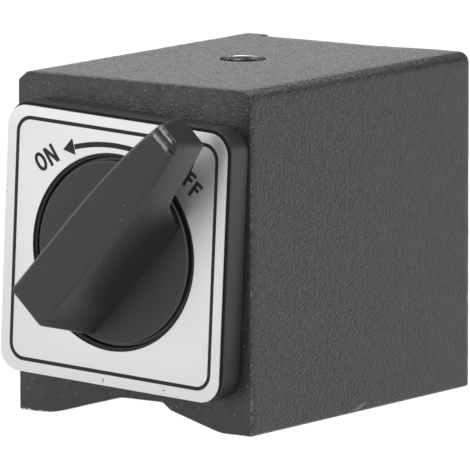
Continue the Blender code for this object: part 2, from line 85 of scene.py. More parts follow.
# %% Sockets that take part in expressions
class Wire:
    """A node socket, or a bare tree to start from, that can be used in Python expressions."""

    def __init__(self, tree, socket=None):
        self.tree = tree
        self.socket = socket

    def node(self, kind, settings=None, values=None, out=0):
        made = self.tree.nodes.new(kind)
        for name, value in (settings or {}).items():
            setattr(made, name, value)
        for name, value in (values or {}).items():
            if isinstance(value, Wire):
                self.tree.links.new(value.socket, made.inputs[name])
            else:
                made.inputs[name].default_value = value
        return Wire(self.tree, made.outputs[out])

    def math(self, operation, first, second=0.0):
        return self.node("ShaderNodeMath", {"operation": operation}, {0: first, 1: second})

    def __add__(self, other):
        return self.math("ADD", self, other)

    def __radd__(self, other):
        return self.math("ADD", other, self)

    def __sub__(self, other):
        return self.math("SUBTRACT", self, other)

    def __rsub__(self, other):
        return self.math("SUBTRACT", other, self)

    def __mul__(self, other):
        return self.math("MULTIPLY", self, other)

    def __rmul__(self, other):
        return self.math("MULTIPLY", other, self)

    def __abs__(self):
        return self.math("ABSOLUTE", self)

    def larger(self, other):
        return self.math("MAXIMUM", self, other)

    def smaller(self, other):
        return self.math("MINIMUM", self, other)

    def between(self, low, high):
        """0 below low and 1 above high, with a soft step from one to the other."""
        values = {"Value": self, "From Min": low, "From Max": high}
        return self.node("ShaderNodeMapRange", {"interpolation_type": "SMOOTHSTEP"}, values)

    def span(self, low, high):
        """The same soft step for a length, with its limits in millimetres."""
        return self.between(low * MM, high * MM)

    def mix(self, first, second):
        """The first colour where this value is 0 and the second where it is 1."""
        settings = {"data_type": "RGBA"}
        return self.node("ShaderNodeMix", settings, {0: self, 6: first, 7: second}, out=2)

    def split(self, vector):
        """The X, Y and Z of a vector."""
        return [self.node("ShaderNodeSeparateXYZ", None, {0: vector}, out=part) for part in range(3)]

    def cloud(self, where, size, detail=2.0, rough=0.5, stretch=(1, 1, 1)):
        """Noise whose lumps are about size millimetres across, from 0 to 1."""
        scale = [1000 / size / part for part in stretch]
        place = self.node("ShaderNodeMapping", None, {"Vector": where, "Scale": scale})
        values = {"Vector": place, "Scale": 1.0, "Detail": detail, "Roughness": rough}
        return self.node("ShaderNodeTexNoise", None, values)

    def cells(self, where, scale, channel):
        """Random cells: the distance from each one's middle, and a number from 0 to 1 for each cell."""
        values = {"Vector": where, "Scale": scale}
        distance = self.node("ShaderNodeTexVoronoi", None, values, out="Distance")
        colour = self.node("ShaderNodeTexVoronoi", None, values, out="Color")
        return distance, self.node("ShaderNodeSeparateColor", None, {0: colour}, out=channel)


print("shader class ready")


# %% Helpers for materials
def grey(level, tint=0.0):
    return (level, level, level * (1 + tint), 1)


def start_finish(name):
    """A new material with its bare tree, its shader and the object's own coordinates."""
    material = bpy.data.materials.new(name)
    material.use_nodes = True
    tree = Wire(material.node_tree)
    where = tree.node("ShaderNodeTexCoord", out="Object")
    return material, tree, material.node_tree.nodes["Principled BSDF"], where


def face_direction(tree):
    """Which way a face points: how far to the right, into the block and up."""
    return tree.split(tree.node("ShaderNodeNewGeometry", out="Normal"))


def plug_in(tree, shader, values):
    """Set or link the shader's sockets by name."""
    for name, value in values.items():
        if isinstance(value, Wire):
            tree.tree.links.new(value.socket, shader.inputs[name])
        else:
            shader.inputs[name].default_value = value


def bump(tree, height, depth):
    """A normal from a height of 0 to 1 that stands depth millimetres tall."""
    return tree.node("ShaderNodeBump", None, {"Strength": 1.0, "Distance": depth * MM, "Height": height})


print("material helpers ready")

# %% [markdown]
# ## Camera
# The photograph was taken from the front right, a little above the block and from well over a metre away,
# so the picture has hardly any perspective. The place, the direction and the long lens were solved from
# the block's corners, the label and the disc.

# %% Camera at the photograph's angle
CAMERA_PLACE = Vector((0.835250, -1.157677, 0.239189))
YAW = 0.622406
PITCH = 0.147087
ROLL = -0.000916
LENS_LENGTH = 687.6
forward = Vector((-math.sin(YAW) * math.cos(PITCH), math.cos(YAW) * math.cos(PITCH), -math.sin(PITCH)))
level_right = forward.cross(Vector((0, 0, 1))).normalized()
level_up = level_right.cross(forward)
right = math.cos(ROLL) * level_right + math.sin(ROLL) * level_up
up = math.cos(ROLL) * level_up - math.sin(ROLL) * level_right


def add_object(name, data):
    """Put an object with this mesh, light or camera in the scene."""
    made = bpy.data.objects.new(name, data)
    scene.collection.objects.link(made)
    return made


lens = bpy.data.cameras.new("camera")
lens.sensor_fit = "HORIZONTAL"
lens.sensor_width = 36
lens.lens = LENS_LENGTH
lens.clip_end = 20
camera = add_object("camera", lens)
turn = Matrix((right, up, -forward)).transposed().to_4x4()
camera.matrix_world = Matrix.Translation(CAMERA_PLACE) @ turn
scene.camera = camera
scene.view_settings.view_transform = "Standard"
print("camera is", round(CAMERA_PLACE.length, 3), "m from the middle of the footprint")

# %% [markdown]
# ## Backdrop, floor and light
# A studio shot on white has large soft lights, a white sweep round the object, a darker ceiling and a dim
# room behind the camera. The world and the floor are white to the camera. A reflection sees the same white
# sweep near the horizon, the ceiling above it and the room, while the light that falls on the object stays
# at a plain level. The floor keeps part of its own shading, so the block still throws a soft shadow. Seen
# from below the floor is clear, so that the underside can be looked at.

# %% World
SKY_LEVEL = 0.3
CEILING_LEVEL = 0.12
ROOM_LEVEL = 0.5
CAMERA_SIDE = (0.578, -0.8, 0.165)


def ray(tree, kind):
    """1 for one kind of ray, such as those straight from the camera, and 0 for the others."""
    return tree.node("ShaderNodeLightPath", out=f"Is {kind} Ray")


world = bpy.data.worlds.new("studio")
world.use_nodes = True
scene.world = world
air = Wire(world.node_tree)
backdrop = world.node_tree.nodes["Background"]
backdrop.inputs["Color"].default_value = (1, 1, 1, 1)
direction = air.node("ShaderNodeTexCoord", out="Generated")
rise = air.split(direction)[2]
sweep_light = 1 - rise.between(0.1, 0.5) * (1 - CEILING_LEVEL)
values = {0: direction, 1: CAMERA_SIDE}
towards_camera = air.node("ShaderNodeVectorMath", {"operation": "DOT_PRODUCT"}, values, out="Value")
sweep_light = sweep_light * (1 - towards_camera.between(0.75, 0.95) * ROOM_LEVEL)
mirrored = ray(air, "Glossy")
direct = ray(air, "Camera").larger(ray(air, "Transmission"))
ambient = mirrored * sweep_light + (1 - mirrored) * SKY_LEVEL
plug_in(air, backdrop, {"Strength": direct + (1 - direct) * ambient})
print("world ready")

# %% Floor
floor_mesh = bpy.data.meshes.new("floor")
shape = bmesh.new()
bmesh.ops.create_circle(shape, cap_ends=True, radius=4, segments=64)
shape.to_mesh(floor_mesh)
shape.free()
floor = add_object("floor", floor_mesh)

floor_paper = bpy.data.materials.new("white_paper")
floor_paper.use_nodes = True
paper = Wire(floor_paper.node_tree)
seen = ray(paper, "Camera").larger(ray(paper, "Glossy")).larger(ray(paper, "Transmission"))
bounce = paper.node("ShaderNodeBsdfDiffuse", None, {"Color": grey(0.6)})
shaded = paper.node("ShaderNodeBsdfDiffuse", None, {"Color": grey(0.15)})
glow = paper.node("ShaderNodeEmission", None, {"Strength": 0.96})
shown = paper.node("ShaderNodeAddShader", None, {0: shaded, 1: glow})
top_side = paper.node("ShaderNodeMixShader", None, {0: seen, 1: bounce, 2: shown})
clear = paper.node("ShaderNodeBsdfTransparent")
under = paper.node("ShaderNodeNewGeometry", out="Backfacing")
both = paper.node("ShaderNodeMixShader", None, {0: under, 1: top_side, 2: clear})
plug_in(paper, floor_paper.node_tree.nodes["Material Output"], {"Surface": both})
floor_mesh.materials.append(floor_paper)
print("floor ready")

# %% Softboxes
MIDDLE = (0, 0.01, 0.03)


def soft_light(name, place, size, power):
    """A square softbox at place that faces the object's middle."""
    data = bpy.data.lights.new(name, "AREA")
    data.shape = "SQUARE"
    data.size = size
    data.energy = power
    box = add_object(name, data)
    box.location = place
    box.rotation_mode = "QUATERNION"
    box.rotation_quaternion = (Vector(MIDDLE) - Vector(place)).to_track_quat("-Z", "Y")


soft_light("softbox_left", (-0.45, -0.62, 0.22), 0.9, 2.4)
soft_light("softbox_right", (0.45, -0.15, 0.75), 0.4, 3.5)
soft_light("softbox_above", (-0.14, 0.1, 1.0), 0.8, 3.8)

# %% [markdown]
# ## Sizes taken from the frame
# The pieces are drawn in a front view, with the origin on the knob's axis at the block's front face, Y up
# and Z towards the viewer. One matrix stands that view upright in the world. The block's sides come from
# the CAD nodes' boxes, so the drawn pieces land on the solids that they stand for.

# %% Front view and block sizes
AXIS = Vector(frame["joints"][0]["pos_m"])
FRONT_VIEW = Matrix.Translation(AXIS) @ Matrix.Rotation(math.pi / 2, 4, "X")
left_low, left_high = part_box("left_pole")
right_low, right_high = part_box("right_pole")
BLOCK_LEFT = left_low.x - AXIS.x
BLOCK_RIGHT = right_high.x - AXIS.x
BLOCK_BOTTOM = -AXIS.z
BLOCK_TOP = left_high.z - AXIS.z
BLOCK_LENGTH = left_high.y - left_low.y
block_size = (BLOCK_RIGHT - BLOCK_LEFT, BLOCK_LENGTH, left_high.z)
print("block in mm:", [round(1000 * size, 2) for size in block_size])

# %% [markdown]
# ## Black paint on the block
# The iron halves are painted together, with a thick matt black paint whose surface is grainy, a little
# like orange peel, with small pale specks caught in it. Two sizes of noise make the grain in a bump, and a
# cell pattern picks out the specks, with extra ones on the edge rounds as painted glints. The upper part of
# each edge's round is painted paler as a painted highlight, and the edges are a little rubbed.
# Where the block has been ground afterwards, underneath, the paint is gone, and it has chipped along the
# edges of the feet. The masks follow the way a face points and its place, both of which belong to the
# object.

# %% Paint: places on the block
paint, tree, shader, where = start_finish("grainy_black_paint")
wide, deep, tall = tree.split(where)
sideways, ahead, facing = face_direction(tree)
flat_top = facing.between(0.7, 0.95)
front = (ahead * -1).between(0.7, 0.95)
side = abs(sideways).between(0.7, 0.95)
fade = side * deep.span(-4, 38)
print("paint tells the top, the front and the sides apart")

# %% Paint: grain and specks
side_grain = tree.cloud(where, 0.28, 1, 0.5, (1, 2.5, 1))
top_grain = tree.cloud(where, 0.24, 1, 0.5, (1, 2.4, 1))
grain = side_grain * (1 - flat_top) + top_grain * flat_top
peel = tree.cloud(where, 1.1, 2, 0.6)
lumps = 0.38 - flat_top * 0.33
hollow = (grain * (1 - lumps) + peel * lumps).between(0.36 - fade * 0.16, 0.64 + fade * 0.16)
blotch = tree.cloud(where, 1.5, 2, 0.6).between(0.3, 0.7)
patches = tree.cloud(where, 9, 3, 0.55)
middle, chance = tree.cells(where, 1150.0, "Red")
# painted highlight: ridge marks the edge rounds, where extra specks stand in for glints; the other specks
# are pale flecks in the paint
ridge = facing.between(0.15, 0.35) * (1 - facing.between(0.85, 0.95))
specks = (1 - middle.between(0.1, 0.24)) * (chance + front * 0.24 + ridge * 0.3).between(0.92, 0.96)
print("paint has its grain and specks")

# %% Paint: chips, rubbed edges, a painted edge highlight and a scratch
SCRATCH_DEEP = 6.7 * MM
SCRATCH_TALL = 0.33 * MM
SCRATCH_IN = 0.963
SCRATCH_UP = 0.267

chips = tree.cloud(where, 0.9, 3, 0.6)
left_foot = 1 - wide.span(-12, -7)
guard = 0.98 - left_foot * 0.38 + sideways.between(0.2, 0.6) * 0.5
low_edge = 1 - (tall * 1000 - chips * 1.6 + guard).between(0.0, 0.12)
below = (facing * -1).between(0.85, 0.96)
bare = below.larger(low_edge * (facing * -1).between(-0.2, 0.3))

low = 1 - tall.span(3, 11)
corner = (right_high.x - wide).larger(deep - right_low.y)
rubbed = tree.cloud(where, 0.45, 2, 0.6).between(0.5 - low * 0.1, 0.6 - low * 0.08)
rubbed = rubbed * (1 - corner.span(0.12, 0.42)) * (0.5 + low * 0.3)
# painted highlight: the upper part of the edge rounds at the top and front is painted paler, mottled by the
# grain and fading towards the back
painted_brow_highlight = facing.between(0.4, 0.85) * sideways.larger(ahead * -1).between(0.05, 0.25)
painted_brow_highlight = painted_brow_highlight * (0.2 + grain.between(0.35, 0.65) * 0.7) * (1 - deep.span(0, 36) * 0.55)

inward = deep - SCRATCH_DEEP
upward = tall - SCRATCH_TALL
run = inward * SCRATCH_IN + upward * SCRATCH_UP
aside = abs(upward * SCRATCH_IN - inward * SCRATCH_UP)
scratch = (1 - aside.span(0.1, 0.3)) * side
scratch = scratch * run.span(0, 0.4) * (1 - run.span(2.4, 4.2))
print("paint is worn")

# %% Paint: colours, gloss and height
ground = tree.cloud(where, 0.35, 3, 0.6, (1, 40, 1))
black = (hollow * 0.4 + blotch * 0.35 + patches * 0.25).mix(grey(0.011, 0.02), grey(0.037, 0.02))
pale = (specks * 0.8).larger(rubbed).larger(scratch * 0.8)
speckled_with_painted_highlight = pale.mix(painted_brow_highlight.mix(black, grey(0.17)), grey(0.28))
metal = ground.mix(grey(0.42, 0.01), grey(0.58, 0.01))
dull = 0.47 - (hollow * 0.24 + blotch * 0.06) * (1 - flat_top * 0.55) - flat_top * 0.1
top_calm = 0.94 - wide.span(6, 19) * 0.2
coarse = 1.2 + side * 0.35 - fade * 0.95 - flat_top * top_calm - front * 0.45
height = (grain * coarse + peel * lumps) * (1 - bare) + ground * bare * 0.12
plug_in(tree, shader, {
    "Base Color": bare.mix(speckled_with_painted_highlight, metal),
    "Metallic": bare,
    "Roughness": dull * (1 - bare) + bare * 0.34,
    "Normal": bump(tree, height, 0.12),
})
print("paint ready")

# %% [markdown]
# ## Bare metal in the tapped hole
# The thread is cut after painting. Its top edge is painted near white as a painted highlight, and further
# down it is painted nearly black as painted shade in the hole.
# A plain metal with a fine noise along the cut and a few darker spots of oil is enough at this size.

# %% Freshly cut metal
cut_metal, tree, shader, where = start_finish("cut_thread_metal")
oil = tree.cloud(where, 1.2, 3, 0.6).between(0.45, 0.7)
depth = left_high.z - tree.split(where)[2]
# painted highlight: the top tenth of a millimetre of the cut metal is painted near white
rim = 1 - depth.span(0.1, 0.14)
# painted shade: below about 0.6 mm the cut metal is painted nearly black
painted_hole_shade = depth.span(0.58, 0.72)
bright = rim.mix(oil.mix(grey(0.3, 0.01), grey(0.18, 0.02)), grey(0.72))
plug_in(tree, shader, {
    "Base Color": painted_hole_shade.mix(bright, grey(0.05, 0.02)),
    "Metallic": 1.0,
    "Roughness": 0.24 + oil * 0.2,
    "Normal": bump(tree, tree.cloud(where, 0.25, 2, 0.5, (1, 1, 0.3)), 0.01),
})
print("cut metal ready")

# %% [markdown]
# ## The thread, from a rule
# A thread is one groove that climbs a cylinder, so its shape follows a rule: the radius at any point
# depends only on the angle and the height. A Geometry Nodes tree makes a tube and moves each point in or
# out by that rule. The result is a tap, which is then cut out of the block like a real one.


# %% Helpers for Geometry Nodes
def new_tree(name, inputs):
    """A Geometry Nodes tree with a geometry in and out and named number inputs."""
    group = bpy.data.node_groups.new(name, "GeometryNodeTree")
    group.is_modifier = True
    group.interface.new_socket("Geometry", in_out="INPUT", socket_type="NodeSocketGeometry")
    group.interface.new_socket("Geometry", in_out="OUTPUT", socket_type="NodeSocketGeometry")
    for label in inputs:
        group.interface.new_socket(label, in_out="INPUT", socket_type="NodeSocketFloat")
    entry = group.nodes.new("NodeGroupInput")
    leave = group.nodes.new("NodeGroupOutput")
    return Wire(group), {socket.name: Wire(group, socket) for socket in entry.outputs if socket.name}, leave


def end_tree(tree, leave, shape, material):
    """Close a tree with Realize Instances and Set Material."""
    real = tree.node("GeometryNodeRealizeInstances", None, {0: shape})
    dressed = tree.node("GeometryNodeSetMaterial", None, {"Geometry": real, "Material": material})
    tree.tree.links.new(dressed.socket, leave.inputs[0])


def plain_mesh(piece):
    """Replace a piece's mesh by what its modifiers make of it."""
    seen = piece.evaluated_get(bpy.context.evaluated_depsgraph_get())
    mesh = bpy.data.meshes.new_from_object(seen)
    piece.modifiers.clear()
    piece.data = mesh
    return piece


def run_tree(piece, tree, sizes):
    """Run a tree on a piece with its named sizes and keep the plain mesh."""
    modifier = piece.modifiers.new("nodes", "NODES")
    modifier.node_group = tree.tree
    for item in tree.tree.interface.items_tree:
        if item.name in sizes:
            modifier[item.identifier] = sizes[item.name]
    return plain_mesh(piece)


print("Geometry Nodes helpers ready")

# %% A tap for the post hole, in Geometry Nodes
tap_tree, size, leave = new_tree("thread_tap", ["core radius", "groove depth", "pitch", "length"])
tip = tap_tree.node("ShaderNodeCombineXYZ", None, {"Z": size["length"]})
line = tap_tree.node("GeometryNodeCurvePrimitiveLine", None, {"End": tip})
steps = tap_tree.node("GeometryNodeResampleCurve", {"mode": "COUNT"}, {"Curve": line, "Count": 84})
values = {"Resolution": 72, "Radius": size["core radius"]}
ring = tap_tree.node("GeometryNodeCurvePrimitiveCircle", None, values)
values = {"Curve": steps, "Profile Curve": ring, "Fill Caps": True}
tube = tap_tree.node("GeometryNodeCurveToMesh", None, values)
x, y, z = tap_tree.split(tap_tree.node("GeometryNodeInputPosition"))
angle = tap_tree.math("ARCTAN2", y, x)
turns = tap_tree.math("DIVIDE", z, size["pitch"]) - angle * (0.5 / math.pi)
tooth = 1 - abs(tap_tree.math("FRACT", turns) * 2 - 1)
reach = size["core radius"] + size["groove depth"] * (tooth * 1.3 - 0.15).larger(0.0).smaller(1.0)
place = {"X": tap_tree.math("COSINE", angle) * reach, "Y": tap_tree.math("SINE", angle) * reach, "Z": z}
moved = tap_tree.node("ShaderNodeCombineXYZ", None, place)
threaded = tap_tree.node("GeometryNodeSetPosition", None, {"Geometry": tube, "Position": moved})
end_tree(tap_tree, leave, threaded, cut_metal)

hole_low, hole_high = [Vector(corner) for corner in frame["record"]["physics"]["openings"][0]["box_m"]]
HOLE = (hole_low + hole_high) / 2
HOLE_DEPTH = 8.4 * MM
tap = add_object("tap", bpy.data.meshes.new("tap"))
thread_sizes = {"core radius": 3.4 * MM, "groove depth": 0.48 * MM, "pitch": 1.25 * MM}
run_tree(tap, tap_tree, {**thread_sizes, "length": HOLE_DEPTH + 0.4 * MM})
print("tap has", len(tap.data.polygons), "faces")

# %% [markdown]
# ## The painted block
# Two iron halves and two aluminium strips are clamped into one block and painted over, so the eye sees a
# single body with faint joints. It could be a box with a bevel, but its section is what makes it: two
# feet, a shallow vee with a stepped roof, a chamfer on one long edge and a round on the other. So the
# section is drawn once with rounded corners and swept along the block in rings. The rings close in at both
# ends for soft edges, and a little noise moves the points near the edges, because thick paint never runs
# quite straight.


# %% A helper for rounded outlines
def soften(corners, spacing, swing=9):
    """A closed outline from (x, y, radius) corners, rounded, with points every so often on straight runs."""
    bends = []
    for index, (x, y, radius) in enumerate(corners):
        here = Vector((x, y))
        before = (Vector(corners[index - 1][:2]) - here).normalized()
        after = (Vector(corners[(index + 1) % len(corners)][:2]) - here).normalized()
        half = before.angle(after) / 2
        centre = here + (before + after).normalized() * radius / math.sin(half)
        start = here + before * radius / math.tan(half) - centre
        end = here + after * radius / math.tan(half) - centre
        first = math.atan2(start.y, start.x)
        sweep = math.remainder(math.atan2(end.y, end.x) - first, 2 * math.pi)
        steps = max(2, round(abs(math.degrees(sweep)) / swing))
        angles = [first + sweep * step / steps for step in range(steps + 1)]
        bends.append([centre + radius * Vector((math.cos(angle), math.sin(angle))) for angle in angles])
    outline = []
    for bend, after in zip(bends, bends[1:] + bends[:1]):
        outline += bend
        run = after[0] - bend[-1]
        parts = max(1, round(run.length / spacing))
        outline += [bend[-1] + run * part / parts for part in range(1, parts)]
    return outline


print("outline helper ready")

# %% The block's section
FOOT = 6.5 * MM
VEE = math.tan(math.radians(15.5))
ROOF = BLOCK_BOTTOM + 3.8 * MM
FOOT_EDGE = 0.45 * MM
TOP_ROUND = 1.9 * MM
CHAMFER_WIDTH = 1.8 * MM
CHAMFER_DROP = 1.4 * MM
CHAMFER_EDGE = 0.6 * MM
strip_low, strip_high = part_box("bottom_spacer")
top_low, top_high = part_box("top_spacer")
JOINTS = (top_high.x - AXIS.x, top_low.x - AXIS.x)
step_x = strip_high.x - AXIS.x + 0.2 * MM
step_y = BLOCK_BOTTOM + (BLOCK_RIGHT - FOOT - step_x - 0.12 * MM) * VEE
meet = BLOCK_LEFT + FOOT + (ROOF - BLOCK_BOTTOM) / VEE

corners = [
    (BLOCK_RIGHT, BLOCK_BOTTOM, FOOT_EDGE),
    (BLOCK_RIGHT, BLOCK_TOP, TOP_ROUND),
    (BLOCK_LEFT + CHAMFER_WIDTH, BLOCK_TOP, CHAMFER_EDGE),
    (BLOCK_LEFT, BLOCK_TOP - CHAMFER_DROP, CHAMFER_EDGE),
    (BLOCK_LEFT, BLOCK_BOTTOM, FOOT_EDGE),
    (BLOCK_LEFT + FOOT, BLOCK_BOTTOM, 12 * MM),
    (meet, ROOF, 7 * MM),
    (step_x - 0.7 * MM, ROOF, 0.8 * MM),
    (step_x + 0.9 * MM, step_y - 0.78 * MM * VEE, 0.8 * MM),
    (BLOCK_RIGHT - FOOT, BLOCK_BOTTOM, 7 * MM),
]
section = soften(corners, 1.1 * MM)


def add_top_point(x):
    """Put one more point on the section's flat top."""
    for index, point in enumerate(section):
        if point.y > BLOCK_TOP - 1e-7 and point.x > x > section[index + 1].x:
            section.insert(index + 1, Vector((x, BLOCK_TOP)))
            return


for joint in JOINTS:
    for offset in (-0.4, -0.22, -0.1, 0, 0.1, 0.22, 0.4):
        add_top_point(joint + offset * MM)
for across in (5.5, 5.7, 5.85, 6.0, 6.2):
    add_top_point(BLOCK_LEFT + across * MM)
print("section has", len(section), "points")

# %% How thick paint and wear move the surface
sharp_corners = [Vector(corner[:2]) for corner in corners if corner[2] < 2 * MM]
edge_share = []
for point in section:
    near = min((point - corner).length for corner in sharp_corners)
    share = max(0.16, 1 - near / (1.6 * MM))
    edge_share.append(0.0 if point.y < BLOCK_BOTTOM + 0.02 * MM else share)


def ease(value, low, high):
    """0 below low and 1 above high, with a soft step between."""
    part = min(max((value - low) / (high - low), 0), 1)
    return part * part * (3 - 2 * part)


def worn_back(across, ahead):
    """How far the top is worn down along the back edge, past a step near its left end."""
    width = ease(across, 5.5 * MM, 6.2 * MM) * (1 - ease(across, 25 * MM, 42 * MM))
    return 0.27 * MM * width * (1 - ease(ahead, 0.6 * MM, 4 * MM))


def paint_ripple(point, level, share):
    """How far the paint's surface lies under the block's true size at one point."""
    lump = 0.5 + 0.5 * noise.noise(Vector((point.x, point.y, level)) * 1000 / 1.5)
    bead = 0.5 + 0.5 * noise.noise(Vector((point.x, point.y, level)) * 1000 / 0.8)
    sink = 0.08 * MM * share * lump + 0.06 * MM * share * bead
    if point.y > BLOCK_TOP - 0.1 * MM:
        for joint, open_share in zip(JOINTS, (0.35, 1)):
            gap = max(0.15 + 1.2 * noise.noise(Vector((joint, 0, level)) * 1000 / 4), 0)
            sink += 0.07 * MM * open_share * gap * math.exp(-((point.x - joint) / (0.15 * MM)) ** 2)
        sink += worn_back(point.x - BLOCK_LEFT, BLOCK_LENGTH - level)
    return sink


print("points near an edge:", sum(share > 0.5 for share in edge_share))


# %% Helpers for solids made of rings
def grown(outline, amount):
    """The outline moved outwards. amount is one length, or one for each point."""
    count = len(outline)
    area = sum(outline[i - 1].cross(outline[i]) for i in range(count))
    side = 1 if area > 0 else -1
    moved = []
    for index, point in enumerate(outline):
        along = (outline[(index + 1) % count] - outline[index - 1]).normalized()
        step = amount[index] if isinstance(amount, list) else amount
        moved.append(point + side * step * Vector((along.y, -along.x)))
    return moved


def quarter(radius, steps=5):
    """Pairs of (inset, drop) round a quarter circle, from the flat face over to the side."""
    angles = [math.pi / 2 * step / steps for step in range(steps + 1)]
    return [(radius * (1 - math.sin(angle)), radius * (1 - math.cos(angle))) for angle in angles]


def closed_piece(name, solid):
    """Merge what meets, turn the faces outwards and put the solid in the scene."""
    bmesh.ops.remove_doubles(solid, verts=solid.verts, dist=1e-7)
    bmesh.ops.recalc_face_normals(solid, faces=solid.faces)
    mesh = bpy.data.meshes.new(name)
    solid.to_mesh(mesh)
    solid.free()
    return add_object(name, mesh)


def stack(name, rings):
    """A closed solid from (level, outline) rings with the same number of points."""
    solid = bmesh.new()
    rows = [[solid.verts.new((p.x, p.y, level)) for p in outline] for level, outline in rings]
    for low, high in zip(rows, rows[1:]):
        for index in range(len(low)):
            solid.faces.new((low[index - 1], low[index], high[index], high[index - 1]))
    solid.faces.new(rows[0])
    solid.faces.new(rows[-1])
    return closed_piece(name, solid)


print("ring helpers ready")

# %% Sweep the section
END_ROUND = 0.38 * MM
RING_SPACING = 0.6 * MM


def block_ring(inset, depth):
    at_end = min(depth, BLOCK_LENGTH - depth) < END_ROUND * 1.01
    sinks = []
    for point, share in zip(section, edge_share):
        sinks.append(-inset - paint_ripple(point, depth, max(share, 0.8) if at_end and share else share))
    return -depth, grown(section, sinks)


straight = BLOCK_LENGTH - 2 * END_ROUND
spans = round(straight / RING_SPACING)
rings = [block_ring(inset, drop) for inset, drop in quarter(END_ROUND, 4)]
for span in range(1, spans):
    rings.append(block_ring(0, END_ROUND + straight * span / spans))
rings += [block_ring(inset, BLOCK_LENGTH - drop) for inset, drop in reversed(quarter(END_ROUND, 4))]
block = stack("block", rings)
block.data.materials.append(paint)
print("block has", len(rings), "rings")


# %% Turned tools, and the bore and the screw holes that they cut
def turned(name, profile, steps=128):
    """A profile of (radius, level) points, from the axis out and back to it, turned about Z."""
    solid = bmesh.new()
    points = [solid.verts.new((radius, 0, level)) for radius, level in profile]
    edges = [solid.edges.new(pair) for pair in zip(points, points[1:])]
    line = points + edges
    bmesh.ops.spin(solid, geom=line, axis=(0, 0, 1), cent=(0, 0, 0), angle=2 * math.pi, steps=steps)
    return closed_piece(name, solid)


def carve(piece, tool, operation="DIFFERENCE"):
    """Cut a tool out of a piece, or join it on, and throw the tool away."""
    cut = piece.modifiers.new("carve", "BOOLEAN")
    cut.operation = operation
    cut.solver = "EXACT"
    cut.material_mode = "TRANSFER"
    cut.object = tool
    plain_mesh(piece)
    bpy.data.objects.remove(tool, do_unlink=True)


def screw_tools():
    """Clearance for the four cover screws, whose places come from the CAD nodes."""
    for number in range(1, 5):
        low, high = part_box(f"cover_screw_{number}")
        middle = (low + high) / 2 - AXIS
        outline = [(0, 6), (3.05, 6), (3.05, 4.15), (1.8, 2.9), (1.8, -6.3), (0, -6.3)]
        tool = turned("screw_tool", [(radius * MM, level * MM) for radius, level in outline], 32)
        tool.data.transform(Matrix.Translation((middle.x, middle.z, 0)))
        yield tool


BORE = 17 * MM
back = -BLOCK_LENGTH
profile = [(0, 2 * MM), (BORE, 2 * MM), (BORE, back + 0.35 * MM), (BORE + 0.7 * MM, back - 0.35 * MM)]
carve(block, turned("bore_tool", profile + [(0, back - 0.35 * MM)]))
for tool in screw_tools():
    carve(block, tool)
print("bored block has", len(block.data.polygons), "faces")


# %% Tap the post hole and finish the block
def settle(piece, name, matrix, body, materials, nodes, smooth=32):
    """Bake a piece's place into its mesh, shade it and hang it on its CAD body."""
    piece.data.transform(matrix)
    for material in materials:
        if material.name not in piece.data.materials:
            piece.data.materials.append(material)
    piece.data.shade_smooth()
    piece.data.set_sharp_from_angle(angle=math.radians(smooth))
    piece.name = name
    piece.data.name = name
    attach(piece, body)
    if nodes:
        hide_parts(*nodes)
    print(name, "has", len(piece.data.polygons), "faces")


mouth_profile = [(0, 0.3), (4.35, 0.3), (3.93, -0.12), (3.9, -0.56), (3.55, -0.76), (0, -0.76)]
mouth = turned("mouth_tool", [(radius * MM, level * MM) for radius, level in mouth_profile], 72)
mouth.data.materials.append(cut_metal)
top_middle = Vector((HOLE.x, HOLE.y, left_high.z))
mouth.data.transform(FRONT_VIEW.inverted() @ Matrix.Translation(top_middle))
hole_floor = Matrix.Translation(top_middle - Vector((0, 0, HOLE_DEPTH)))
thread_start = Matrix.Rotation(math.radians(112), 4, "Z")
tap.data.transform(FRONT_VIEW.inverted() @ hole_floor @ thread_start)
carve(block, tap)
carve(block, mouth)
block_nodes = ["left_pole", "right_pole", "top_spacer", "bottom_spacer"]
settle(block, "painted_block", FRONT_VIEW, "base", [paint, cut_metal], block_nodes)

# %% [markdown]
# ## Moulded plastic for the cover
# The cover is black moulded plastic with a fine matt texture from its mould. A weak bump and a roughness
# that drifts break up the gloss, as on a real moulding. The narrow rim inside the label's hole and the front
# face round the label are painted darker as painted shade, and so are the rounded corners of the wall. The
# wall's upper part is painted paler as painted light and its lower part darker as painted shade.

# %% Cover plastic
cover_plastic, tree, shader, where = start_finish("cover_plastic")
pits = tree.cloud(where, 0.3, 2, 0.6)
drift = tree.cloud(where, 7, 3, 0.5)
x, y, z = tree.split(where)
across = x - AXIS.x
upwards = z - AXIS.z
radius = tree.math("SQRT", across * across + upwards * upwards)
# painted shade: the narrow rim inside the label's hole is painted nearly black
dust_and_rim_shade = 1 - radius.span(15.9, 16.1)
sideways, ahead, lift = face_direction(tree)
# painted shade: the front face round the label is painted darker
face = (ahead * -1).between(0.9, 0.98) * (1 - dust_and_rim_shade)
wall = sideways.between(0.75, 0.95)
# painted light and shade: the wall is painted paler above the axis and darker low down, and its rounded
# corners are painted darker
upper = wall * upwards.span(-6, 16)
lower = wall * (1 - upwards.span(-21, -9))
bend = (sideways * abs(lift)).between(0.12, 0.4)
matt = (drift * 0.5 + pits * 0.5).mix(grey(0.026, 0.02), grey(0.046, 0.02))
matt = (lower * 0.6).mix((upper * 0.5).mix(matt, grey(0.07)), grey(0.016))
matt = (bend * 0.8).mix(matt, grey(0.012))
plug_in(tree, shader, {
    "Base Color": dust_and_rim_shade.mix(face.mix(matt, grey(0.008)), grey(0.012)),
    "Roughness": 0.46 + pits * 0.14 + face * 0.35 + dust_and_rim_shade * 0.1,
    "Normal": bump(tree, pits, 0.035),
})
print("cover plastic ready")

# %% [markdown]
# ## The front cover
# A square plastic frame closes the block's front and carries the label. Its outer edge is rounded, and the
# round window for the knob leaves a narrow rim inside the label's larger hole. It is swept like the block,
# in rings, and then cut with turned tools. It sits a few degrees askew, as in the photograph.

